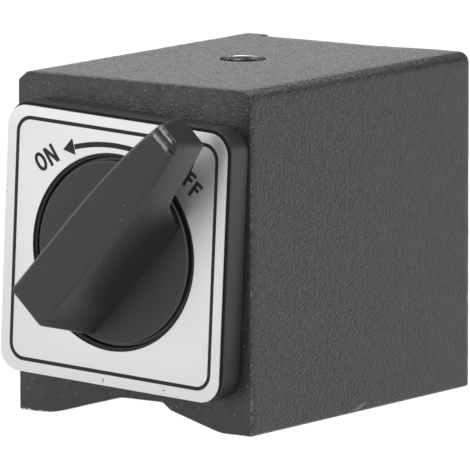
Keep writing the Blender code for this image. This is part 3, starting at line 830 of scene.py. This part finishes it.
# %% Cover
COVER_TURN = Matrix.Rotation(math.radians(-2.75), 2)
COVER_FRONT = AXIS.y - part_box("front_cover")[0].y
COVER_BACK = AXIS.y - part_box("front_cover")[1].y
COVER_SIZE = 43.76 * MM
COVER_CORNER = 4.1 * MM
COVER_SHIFT = 0.2 * MM
COVER_ROUND = 0.22 * MM


def square(size, corner, shift=0.0):
    """A rounded square, turned with the cover. shift moves it towards its upper right."""
    half = size / 2
    turns = [(half, -half, corner), (half, half, corner), (-half, half, corner), (-half, -half, corner)]
    return [COVER_TURN @ (point + Vector((shift, shift))) for point in soften(turns, size, 6)]


def plate(name, outline, front, back, edge, steps, material):
    """A flat sheet between two levels, with a round on its front edge."""
    rings = [(front - drop, grown(outline, -inset)) for inset, drop in quarter(edge, steps)]
    piece = stack(name, rings + [(back, outline)])
    piece.data.materials.append(material)
    return piece


cover_outline = square(COVER_SIZE, COVER_CORNER, COVER_SHIFT)
cover = plate("cover", cover_outline, COVER_FRONT, COVER_BACK - 0.1 * MM, COVER_ROUND, 5, cover_plastic)
print("cover has", len(cover.data.polygons), "faces before it is cut")

# %% Cut the cover's window, recess and holes
WINDOW = 15.2 * MM
RIM_ROUND = 0.25 * MM
RECESS = 18.8 * MM
SHELF = COVER_FRONT - 2 * MM
past_back = COVER_BACK - 2 * MM
profile = [(0, COVER_FRONT + 2 * MM), (WINDOW + RIM_ROUND, COVER_FRONT + 2 * MM)]
profile += [(WINDOW + inset, COVER_FRONT - drop) for inset, drop in quarter(RIM_ROUND, 4)]
carve(cover, turned("window_tool", profile + [(WINDOW, past_back), (0, past_back)], 160))
profile = [(0, SHELF), (RECESS, SHELF), (RECESS, past_back), (0, past_back)]
carve(cover, turned("recess_tool", profile, 160))
for tool in screw_tools():
    carve(cover, tool)

PIN_HOLE = 1.2 * MM
pin_low, pin_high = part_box("stop_pin")
pin = (pin_low + pin_high) / 2 - AXIS
seat = AXIS.y - pin_low.y + 0.2 * MM
profile = [(0, seat), (PIN_HOLE, seat), (PIN_HOLE, SHELF - MM), (0, SHELF - MM)]
tool = turned("pin_tool", profile, 32)
tool.data.transform(Matrix.Translation((pin.x, pin.z, 0)))
carve(cover, tool)
settle(cover, "cover_frame", FRONT_VIEW, "base", [cover_plastic], ["front_cover"])

# %% [markdown]
# ## The label
# The label is thin satin metal sheet with a few small nicks. As a mirror with a soft finish it shows the
# white studio, and the dark knob blurs into it beside the handle. So it needs no painted shading, only a
# metal with the right roughness. It is cut like the cover, from a rounded square.

# %% Label sheet
NICKS = [(-2.04, -20.71, 0.16, 0.42), (9.85, -21.18, 0.3, 0.14), (-21.2, 8.05, 0.2, 0.2)]
sheet_metal, tree, shader, where = start_finish("satin_label_sheet")
cloudy = tree.cloud(where, 6, 3, 0.55)
sand = tree.cloud(where, 0.18, 2, 0.6)
scuff = tree.cloud(where, 0.7, 4, 0.7, (1, 1, 6)).between(0.66, 0.8)
x, y, z = tree.split(where)
whole = 1.0
for across, upwards, half_wide, half_tall in NICKS:
    along = (x - AXIS.x - across * MM) * (1000 / half_wide)
    rise = (z - AXIS.z - upwards * MM) * (1000 / half_tall)
    whole = (along * along + rise * rise).between(0.3, 1.2) * whole
satin = (cloudy * 0.6 + scuff * 0.25).mix(grey(0.7), grey(0.65))
plug_in(tree, shader, {
    "Base Color": whole.mix(grey(0.26), satin),
    "Metallic": 0.92,
    "Roughness": 0.46 + sand * 0.08 + scuff * 0.06,
    "Normal": bump(tree, sand, 0.002),
})
print("label sheet has", len(NICKS), "nicks")

# %% Label
LABEL_FRONT = AXIS.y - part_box("label_plate")[0].y
LABEL_BACK = AXIS.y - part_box("label_plate")[1].y
LABEL_SIZE = 43.06 * MM
LABEL_CORNER = 3.6 * MM
LABEL_SHIFT = -0.07 * MM
LABEL_ROUND = 0.05 * MM
LABEL_HOLE = 15.85 * MM
BURR = 0.04 * MM
label_outline = square(LABEL_SIZE, LABEL_CORNER, LABEL_SHIFT)
label = plate("label", label_outline, LABEL_FRONT, LABEL_BACK, LABEL_ROUND, 2, sheet_metal)
profile = [(0, LABEL_FRONT + MM), (LABEL_HOLE + BURR, LABEL_FRONT + MM)]
profile += [(LABEL_HOLE + BURR, LABEL_FRONT), (LABEL_HOLE, LABEL_FRONT - BURR)]
carve(label, turned("label_tool", profile + [(LABEL_HOLE, LABEL_BACK - MM), (0, LABEL_BACK - MM)], 160))
settle(label, "label_sheet", FRONT_VIEW, "base", [sheet_metal], ["label_plate"])

# %% [markdown]
# ## The print on the label
# The print could be a picture on the sheet. Here it is made as thin ink that stands a hundredth of a
# millimetre proud, so it stays sharp at any distance: a border line and a curved arrow that follow a path,
# and the words ON and OFF. One Geometry Nodes tree draws every line, by sweeping a flat nib along its
# path.

# %% Ink
ink, tree, shader, where = start_finish("black_ink")
worn = tree.cloud(where, 0.4, 3, 0.65)
plug_in(tree, shader, {
    "Base Color": worn.mix(grey(0.014), grey(0.032)),
    "Roughness": 0.55 + worn * 0.16,
    "Specular IOR Level": 0.3,
    "Normal": bump(tree, worn, 0.004),
})
print("ink ready")

# %% Printed lines that follow a path, in Geometry Nodes
line_tree, size, leave = new_tree("printed_line", ["line width", "ink height"])
path = line_tree.node("GeometryNodeMeshToCurve", None, {"Mesh": size["Geometry"]})
upright = line_tree.node("GeometryNodeSetCurveNormal", {"mode": "Z_UP"}, {"Curve": path})
values = {"Width": size["line width"], "Height": size["ink height"]}
nib = line_tree.node("GeometryNodeCurvePrimitiveQuadrilateral", {"mode": "RECTANGLE"}, values)
values = {"Curve": upright, "Profile Curve": nib, "Fill Caps": True}
end_tree(line_tree, leave, line_tree.node("GeometryNodeCurveToMesh", None, values), ink)
INK_HEIGHT = 0.016 * MM
ink_pieces = []


def printed_line(name, points, width, closed):
    """Ink of one width along points. A closed line runs back to its start."""
    mesh = bpy.data.meshes.new(name)
    pairs = [(index, index + 1) for index in range(len(points) - 1)]
    if closed:
        pairs.append((len(points) - 1, 0))
    mesh.from_pydata([(point.x, point.y, 0) for point in points], pairs, [])
    sizes = {"line width": width, "ink height": INK_HEIGHT}
    ink_pieces.append(run_tree(add_object(name, mesh), line_tree, sizes))


def printed_area(name, outline):
    """A filled patch of ink inside an outline."""
    ink_pieces.append(stack(name, [(-INK_HEIGHT / 2, outline), (INK_HEIGHT / 2, outline)]))


print("line tree ready")


# %% Border and arrow
def arc_points(x, y, radius, first, last, steps):
    """Points along an arc, whose angles are in degrees."""
    angles = [math.radians(first + (last - first) * step / steps) for step in range(steps + 1)]
    return [Vector((x + radius * math.cos(angle), y + radius * math.sin(angle))) for angle in angles]


ARROW_RADIUS = 27.47 * MM
printed_line("border", square(39.02 * MM, 2.5 * MM), 0.62 * MM, True)
shaft = arc_points(-0.75 * MM, -10.34 * MM, ARROW_RADIUS, 70, 104.3, 32)
printed_line("arrow_shaft", shaft, 0.84 * MM, False)
head = [(-9.78, 15.7, 0.06), (-7.3, 15.02, 0.06), (-7.98, 17.66, 0.06)]
printed_area("arrow_head", soften([(x * MM, y * MM, radius * MM) for x, y, radius in head], 5 * MM))
print("printed lines:", [piece.name for piece in ink_pieces])

# %% Printed words
STROKE = 0.58


def place_letter(points, x, y, lean):
    """Points about a letter's middle, in millimetres, turned by lean degrees and moved to x, y."""
    turn = Matrix.Rotation(math.radians(lean), 2)
    return [(Vector((x, y)) + turn @ Vector(point)) * MM for point in points]


def letter_o(x, y, lean, width=2.05, height=3.2):
    half_wide = (width - STROKE) / 2
    half_tall = (height - STROKE) / 2
    angles = [2 * math.pi * step / 48 for step in range(48)]
    ring = [(half_wide * math.cos(angle), half_tall * math.sin(angle)) for angle in angles]
    printed_line("letter_o", place_letter(ring, x, y, lean), STROKE * MM, True)


def solid_letter(name, points, width, height, x, y, lean):
    """A letter of straight strokes, from its outline with the lower left corner at 0, 0."""
    middle = [(along - width / 2, rise - height / 2) for along, rise in points]
    printed_area(name, place_letter(middle, x, y, lean))


def letter_n(x, y, lean, width=2.05, height=3.17):
    slant = 0.62
    low = height * (1 - STROKE / (width - slant))
    high = height * STROKE / (width - slant)
    inner = width - STROKE
    points = [(0, height), (0, 0), (STROKE, 0), (STROKE, low), (width - slant, 0), (width, 0)]
    points += [(width, height), (inner, height), (inner, high), (slant, height)]
    solid_letter("letter_n", points, width, height, x, y, lean)


def letter_f(x, y, lean, width=1.62, height=2.95):
    bar = 0.46 * height
    short = 0.86 * width
    top = height - STROKE
    points = [(0, height), (0, 0), (STROKE, 0), (STROKE, bar), (short, bar), (short, bar + STROKE)]
    points += [(STROKE, bar + STROKE), (STROKE, top), (width, top), (width, height)]
    solid_letter("letter_f", points, width, height, x, y, lean)


letter_o(-14.16, 13.41, 34.5)
letter_n(-12.13, 14.66, 34.5)
letter_o(14.75, 15.38, -33)
letter_f(15.0, 12.75, -35.5)
letter_f(16.15, 11.2, -38.5)
print("letters: ON and OFF")

# %% Join the print
print_mesh = bmesh.new()
for piece in ink_pieces:
    print_mesh.from_mesh(piece.data)
    bpy.data.objects.remove(piece, do_unlink=True)
print_piece = closed_piece("print", print_mesh)
on_label = FRONT_VIEW @ Matrix.Translation((0, 0, LABEL_FRONT + INK_HEIGHT / 4))
settle(print_piece, "label_print", on_label, "base", [ink], [])

# %% [markdown]
# ## Plastic for the knob
# The knob's plastic is a little smoother than the cover's, with a soft sheen, slight mould flow and a few
# pale flecks. The notch at the tip is painted nearly white, partly wear and partly painted glints on its
# lips, and the gap round the disc is dusty. Thin pale lines along the crest's edges and round the disc's
# edge are painted highlights. The flank is painted paler near the nose and near its root as painted light,
# and darker at the tail as painted shade, where it is also rougher, and the disc face away from the bar is
# painted paler as painted light. The masks use the handle's own directions: along it, athwart it and above
# the disc.

# %% Knob sizes
BAR_HEIGHT = 13.1 * MM
BAR_TAIL = 11.1 * MM
BAR_TIP = 30.1 * MM
BAR_WIDEST = 5 * MM
CREST_HALF = 4.2 * MM
TIP_TAPER = 2.0 * MM
TAPER_POWER = 2.6
NOTCH = BAR_TIP - 1.6 * MM
KNOB_LEAN = math.radians(47)
DISC_FACE = LABEL_FRONT
DISC_RADIUS = 14.63 * MM
print("handle is", round(1000 * (BAR_TIP + BAR_TAIL), 1), "mm long")

# %% Knob plastic: directions and faces
knob_plastic, tree, shader, where = start_finish("knob_plastic")
x, y, z = tree.split(where)
across = x - AXIS.x
upwards = z - AXIS.z
above = AXIS.y - DISC_FACE - y
along = across * math.cos(KNOB_LEAN) + upwards * math.sin(KNOB_LEAN)
athwart = upwards * math.cos(KNOB_LEAN) - across * math.sin(KNOB_LEAN)
radius = tree.math("SQRT", across * across + upwards * upwards)
sideways, ahead, lift = face_direction(tree)
crest = (ahead * -1).between(0.9, 0.98)
flank = (sideways * math.sin(KNOB_LEAN) - lift * math.cos(KNOB_LEAN)).between(0.85, 0.95)
flat_disc = crest * (1 - above.span(0.2, 0.4))
print("knob plastic knows the handle's crest and flank")

# %% Knob plastic: wear, dust and painted edge highlights
satin = tree.cloud(where, 0.24, 2, 0.6)
flow = tree.cloud(where, 8, 3, 0.55)
wavy = tree.cloud(where, 0.9, 2, 0.6)
# the notch's lips are painted pale: partly wear, partly painted glints on the lips
lip = abs(abs(along - NOTCH - 0.2 * MM) - 0.8 * MM)
worn = 1 - (lip + (wavy - 0.5) * 0.9 * MM).span(0.1, 0.45)
worn = worn * above.span(12.0, 12.5) * (0.35 + satin * 0.9)
worn = worn * (1 - abs(athwart - 0.3 * MM).span(1.3, 2.0))
dust_and_rim_shade = radius.between(DISC_RADIUS + 0.02 * MM, DISC_RADIUS + 0.06 * MM)
dust_and_rim_shade = dust_and_rim_shade * (1 - above.span(-0.3, -0.2))
middle, luck = tree.cells(where, 330.0, "Green")
fleck = (1 - middle.between(0.03, 0.08)) * luck.between(0.78, 0.82)
# painted highlight: a thin pale line along the crest's edges
reach = ((along - BAR_WIDEST) * (1 / (BAR_TIP - BAR_WIDEST))).larger(0.0)
edge = athwart - CREST_HALF + tree.math("POWER", reach, TAPER_POWER) * TIP_TAPER
painted_crest_highlight = edge.span(-0.5, -0.3) * above.span(12.4, 12.7)
# painted highlight: a thin pale line round the disc's edge
painted_brim_highlight = radius.between(DISC_RADIUS - 0.26 * MM, DISC_RADIUS - 0.16 * MM)
painted_brim_highlight = painted_brim_highlight * above.span(-0.25, -0.15) * (1 - above.span(0.1, 0.2))
print("knob plastic is worn")

# %% Knob plastic: painted light and shade, tones and shader
# painted light: the flank is painted paler near the nose and near its root; painted shade: it is painted
# darker at the tail, which is also rougher
nose = flank * along.span(12, 21) * (1 - above.span(8, 12.6))
tail = flank * (1 - along.span(-12, -2))
root = flank * (1 - above.span(0, 5)) * (1 - tail)
# painted light: the disc face away from the bar's flank is painted paler
painted_lit_disc = flat_disc * (athwart * -1).span(5.5, 9.5).larger(athwart.span(0, 1))
plastic = (flow * 0.3 + satin.between(0.3, 0.7) * 0.7).mix(grey(0.011, 0.03), grey(0.032, 0.03))
plastic = tail.mix(nose.mix(plastic, grey(0.07)), grey(0.01))
plastic = (root * 0.6).mix((fleck * 0.5).mix(plastic, grey(0.2)), grey(0.045))
plastic = (painted_lit_disc * 0.55).mix(plastic, grey(0.058))
plastic = (painted_crest_highlight * 0.6).larger(painted_brim_highlight * 0.6).mix(plastic, grey(0.13))
gloss = flank * 0.06 + worn * 0.08
plug_in(tree, shader, {
    "Base Color": (worn * 0.95).mix(dust_and_rim_shade.mix(plastic, grey(0.16)), grey(0.45)),
    "Roughness": 0.38 + flow * 0.1 + crest * 0.1 + flat_disc * 0.1 + tail * 0.32 - gloss,
    "Normal": bump(tree, satin * 0.7 + flow * 0.3, 0.03),
})
print("knob plastic ready")

# %% [markdown]
# ## The pointer knob
# The knob is one moulding: a disc, and a tall bar across it that overhangs the disc at its pointing end.
# Its flanks lean for the mould, its plan swells like a barrel, its nose hangs free and a notch marks its
# tip. A box with bevels can't follow that, so the bar is built from level outlines, as a pattern maker
# would stack boards. Below the nose an outline ends at the neck, and above it the same points run out to
# the tip. The flat underside appears where those two outlines meet at one level.

# %% The bar's width and neck
BAR_CORNER = 1 * MM
NECK_CORNER = 0.9 * MM
UNDERSIDE = 6.1 * MM
FLANK = math.tan(math.radians(9.1))
TAIL_LEAN = math.tan(math.radians(9.5))
NECK_ANGLE = 40
NECK_LEAN = math.tan(math.radians(NECK_ANGLE))
NECK_FILLET = 2 * MM
neck_foot = math.sqrt((DISC_RADIUS - 0.6 * MM) ** 2 - (CREST_HALF + BAR_HEIGHT * FLANK) ** 2)
neck_turn = math.radians(90 - NECK_ANGLE)
fillet_x = neck_foot + UNDERSIDE * NECK_LEAN + NECK_FILLET * math.tan(neck_turn / 2)
fillet_low = UNDERSIDE - NECK_FILLET * (1 - math.cos(neck_turn))


def half_width(along):
    """Half the crest's width: a barrel that narrows to the tip."""
    if along > BAR_WIDEST:
        return CREST_HALF - TIP_TAPER * ((along - BAR_WIDEST) / (BAR_TIP - BAR_WIDEST)) ** TAPER_POWER
    return CREST_HALF - 0.1 * MM * ((BAR_WIDEST - along) / (BAR_WIDEST + BAR_TAIL)) ** 2


def neck(height):
    """How far along the bar its neck reaches at a height below the nose."""
    if height < fillet_low:
        return neck_foot + max(height, 0) * NECK_LEAN
    rise = height - (UNDERSIDE - NECK_FILLET)
    return fillet_x - math.sqrt(max(NECK_FILLET ** 2 - rise ** 2, 0))


print("neck reaches", round(1000 * neck(UNDERSIDE), 1), "mm under the nose")


# %% Outlines of the bar
def bar_outline(height, nose):
    """The bar's outline at a height above the disc, with the nose or only up to the neck."""
    drop = BAR_HEIGHT - height
    tail = -BAR_TAIL - drop * TAIL_LEAN
    crest_run = BAR_TIP + BAR_TAIL - 2 * BAR_CORNER
    run = BAR_TIP - tail - 2 * BAR_CORNER

    def side(along):
        crest = -BAR_TAIL + BAR_CORNER + crest_run * (along - tail - BAR_CORNER) / run
        return half_width(crest) + drop * FLANK

    start = tail + BAR_CORNER
    shared_end = neck(min(height, UNDERSIDE)) - NECK_CORNER
    half = [Vector((tail, 0)), Vector((tail, side(start) * 0.4))]
    half += arc_points(start, side(start) - BAR_CORNER, BAR_CORNER, 180, 90, 6)
    for step in range(1, 31):
        along = start + (shared_end - start) * step / 30
        half.append(Vector((along, side(along))))
    if nose:
        last = BAR_TIP - BAR_CORNER
        for step in range(1, 11):
            along = shared_end + (last - shared_end) * step / 10
            half.append(Vector((along, side(along))))
        half += arc_points(last, side(last) - BAR_CORNER, BAR_CORNER, 75, 0, 5)
        half.append(Vector((BAR_TIP, 0)))
    else:
        end = shared_end + NECK_CORNER
        half += arc_points(shared_end, side(shared_end) - NECK_CORNER, NECK_CORNER, 75, 0, 5)
        for step in range(1, 12):
            half.append(Vector((end, (side(shared_end) - NECK_CORNER) * (1 - step / 11))))
    return half + [Vector((point.x, -point.y)) for point in reversed(half[1:-1])]


print("bar outline has", len(bar_outline(0, False)), "points, nose", len(bar_outline(UNDERSIDE, True)))

# %% Stack the bar
CREST_ROUND = 0.55 * MM
NOSE_ROUND = 1.2 * MM
SHARED_POINTS = 38
rings = []
fillet_rises = [UNDERSIDE - (UNDERSIDE - fillet_low) * (1 - step / 6) ** 2 for step in range(7)]
for rise in [-0.5 * MM, 0.4 * MM, 1.6 * MM, 3 * MM, 4.5 * MM] + fillet_rises:
    rings.append((DISC_FACE + rise, bar_outline(rise, False)))

count = len(rings[0][1])
nose_share = []
for index in range(count):
    beyond = min(index, count - index) - SHARED_POINTS
    nose_share.append(min(max(beyond / 3, 0), 1))
for inset, drop in quarter(NOSE_ROUND, 6):
    outline = bar_outline(UNDERSIDE + drop, True)
    rings.append((DISC_FACE + UNDERSIDE + drop, grown(outline, [-inset * share for share in nose_share])))
for rise in (8.5 * MM, 10.5 * MM):
    rings.append((DISC_FACE + rise, bar_outline(rise, True)))
for inset, drop in reversed(quarter(CREST_ROUND, 6)):
    rings.append((DISC_FACE + BAR_HEIGHT - drop, grown(bar_outline(BAR_HEIGHT - drop, True), -inset)))
bar = stack("bar", rings)
print("bar has", len(bar.data.polygons), "faces")

# %% Turn the disc and join the bar
DISC_ROUND = 0.2 * MM
SHOULDER = 15.08 * MM
FLANGE_RADIUS = 18.5 * MM
FLANGE_FACE = COVER_FRONT - 2.3 * MM
FLANGE_BACK = 0.3 * MM
HUB_RADIUS = 11 * MM
HUB_BACK = -6 * MM
GAP_FLOOR = COVER_FRONT - 0.75 * MM
profile = [(0, DISC_FACE)]
profile += [(DISC_RADIUS - inset, DISC_FACE - drop) for inset, drop in quarter(DISC_ROUND, 4)]
profile += [(DISC_RADIUS, GAP_FLOOR), (SHOULDER, GAP_FLOOR), (SHOULDER, FLANGE_FACE)]
profile += [(FLANGE_RADIUS, FLANGE_FACE), (FLANGE_RADIUS, FLANGE_BACK)]
profile += [(HUB_RADIUS, FLANGE_BACK), (HUB_RADIUS, HUB_BACK), (0, HUB_BACK)]
knob = turned("knob_disc", profile, 160)
knob.data.materials.append(knob_plastic)
carve(knob, bar, "UNION")
print("knob has", len(knob.data.polygons), "faces before it is cut")

# %% Cut the notch, the drive slot and the stop's travel
groove = [(-1.3, 0.5, 0.05), (-0.8, 0, 0.3), (-0.3, -0.62, 0.25)]
groove += [(-along, height, radius) for along, height, radius in reversed(groove)]
notch = [(NOTCH + along * MM, BAR_HEIGHT + height * MM, radius * MM) for along, height, radius in groove]
notch_outline = soften(notch, MM)
notch_tool = stack("notch_tool", [(-8 * MM, notch_outline), (8 * MM, notch_outline)])
notch_tool.data.transform(Matrix.Translation((0, 0, DISC_FACE)) @ Matrix.Rotation(math.pi / 2, 4, "X"))
carve(knob, notch_tool)

SLOT_HALF_LENGTH = 8.3 * MM
SLOT_HALF_WIDTH = 3.3 * MM
signs = [(1, -1), (1, 1), (-1, 1), (-1, -1)]
slot = [Vector((SLOT_HALF_LENGTH * along, SLOT_HALF_WIDTH * athwart)) for along, athwart in signs]
carve(knob, stack("slot_tool", [(-8 * MM, slot), (-1.4 * MM, slot)]))

STOP_FIRST = -137
STOP_LAST = -227
PIN_CLEARANCE = 1.3 * MM
PIN_CIRCLE = 17.5 * MM
clear = math.degrees(PIN_CLEARANCE / PIN_CIRCLE)
inner = arc_points(0, 0, 16.2 * MM, STOP_FIRST + clear, STOP_LAST - clear, 40)
outer = arc_points(0, 0, 20.5 * MM, STOP_LAST - clear, STOP_FIRST + clear, 40)
carve(knob, stack("travel_tool", [(-2 * MM, inner + outer), (COVER_FRONT - 2 * MM, inner + outer)]))

knob_place = FRONT_VIEW @ Matrix.Rotation(KNOB_LEAN, 4, "Z")
settle(knob, "pointer_knob", knob_place, "rotor", [knob_plastic], ["knob"], 28)

# %% [markdown]
# ## The plug in the back
# A plain plastic plug closes the bore behind. It is turned, with a small round on its rim, and sits a
# shade below the block's face.

# %% Rear plug
PLUG_ROUND = 0.4 * MM
plug_low, plug_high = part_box("rear_plug")
plug_back = AXIS.y - plug_high.y
plug_front = AXIS.y - plug_low.y
plug_radius = (plug_high.x - plug_low.x) / 2
plug_floor = plug_back + MM
bush_low, bush_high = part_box("rear_bush")
bush_seat = (bush_high.x - bush_low.x) / 2 + 0.3 * MM
profile = [(0, plug_floor), (bush_seat, plug_floor), (bush_seat, plug_front), (plug_radius, plug_front)]
profile += [(plug_radius - inset, plug_back + drop) for inset, drop in reversed(quarter(PLUG_ROUND, 4))]
plug = turned("plug", profile + [(0, plug_back)], 128)
settle(plug, "bore_plug", FRONT_VIEW, "base", [cover_plastic], ["rear_plug"])

# %% [markdown]
# ## Finishes inside
# The rest is hidden while the base is whole: screws, washers, the bush and the magnet rotor. Their CAD
# solids are right as they are, so each only gets the finish of its trade: turned steel and brass, cast
# aluminium, bare iron and dark ground ferrite.

# %% Metals and ferrite for the inner pieces
inside = {}


def inner_finish(slot, name, colours, lump, stretch, roughness, depth, metallic=1.0):
    """A machined or cast finish whose colour, gloss and height follow one noise."""
    material, tree, shader, where = start_finish(name)
    marks = tree.cloud(where, lump, 3, 0.6, stretch)
    plug_in(tree, shader, {
        "Base Color": marks.mix(*colours),
        "Metallic": metallic,
        "Roughness": roughness + marks * 0.15,
        "Normal": bump(tree, marks, depth),
    })
    inside[slot] = material


TURNED = (8, 0.5, 8)
BRASS = ((0.62, 0.44, 0.17, 1), (0.78, 0.58, 0.27, 1))
ALUMINIUM = (grey(0.5), grey(0.6, 0.02))
FERRITE = (grey(0.05, 0.05), grey(0.08, 0.05))
inner_finish("bright_steel", "turned_steel", (grey(0.5), grey(0.64)), 0.5, TURNED, 0.26, 0.004)
inner_finish("brass", "turned_brass", BRASS, 0.5, TURNED, 0.26, 0.004)
inner_finish("cast_aluminium", "cast_aluminium_skin", ALUMINIUM, 0.9, (1, 1, 1), 0.42, 0.02)
inner_finish("soft_iron", "bare_iron", (grey(0.24), grey(0.36)), 0.7, (6, 6, 1), 0.45, 0.01)
inner_finish("ferrite", "ground_ferrite", FERRITE, 0.6, (1, 6, 1), 0.6, 0.01, 0.0)

slots = {row["node"]: row["material_slot"] for row in frame["record"]["subparts"]}
dressed = 0
for name, node in frame["nodes"].items():
    if slots[name] in inside:
        node.data.materials.clear()
        node.data.materials.append(inside[slots[name]])
        dressed += 1
print("inner pieces dressed:", dressed)
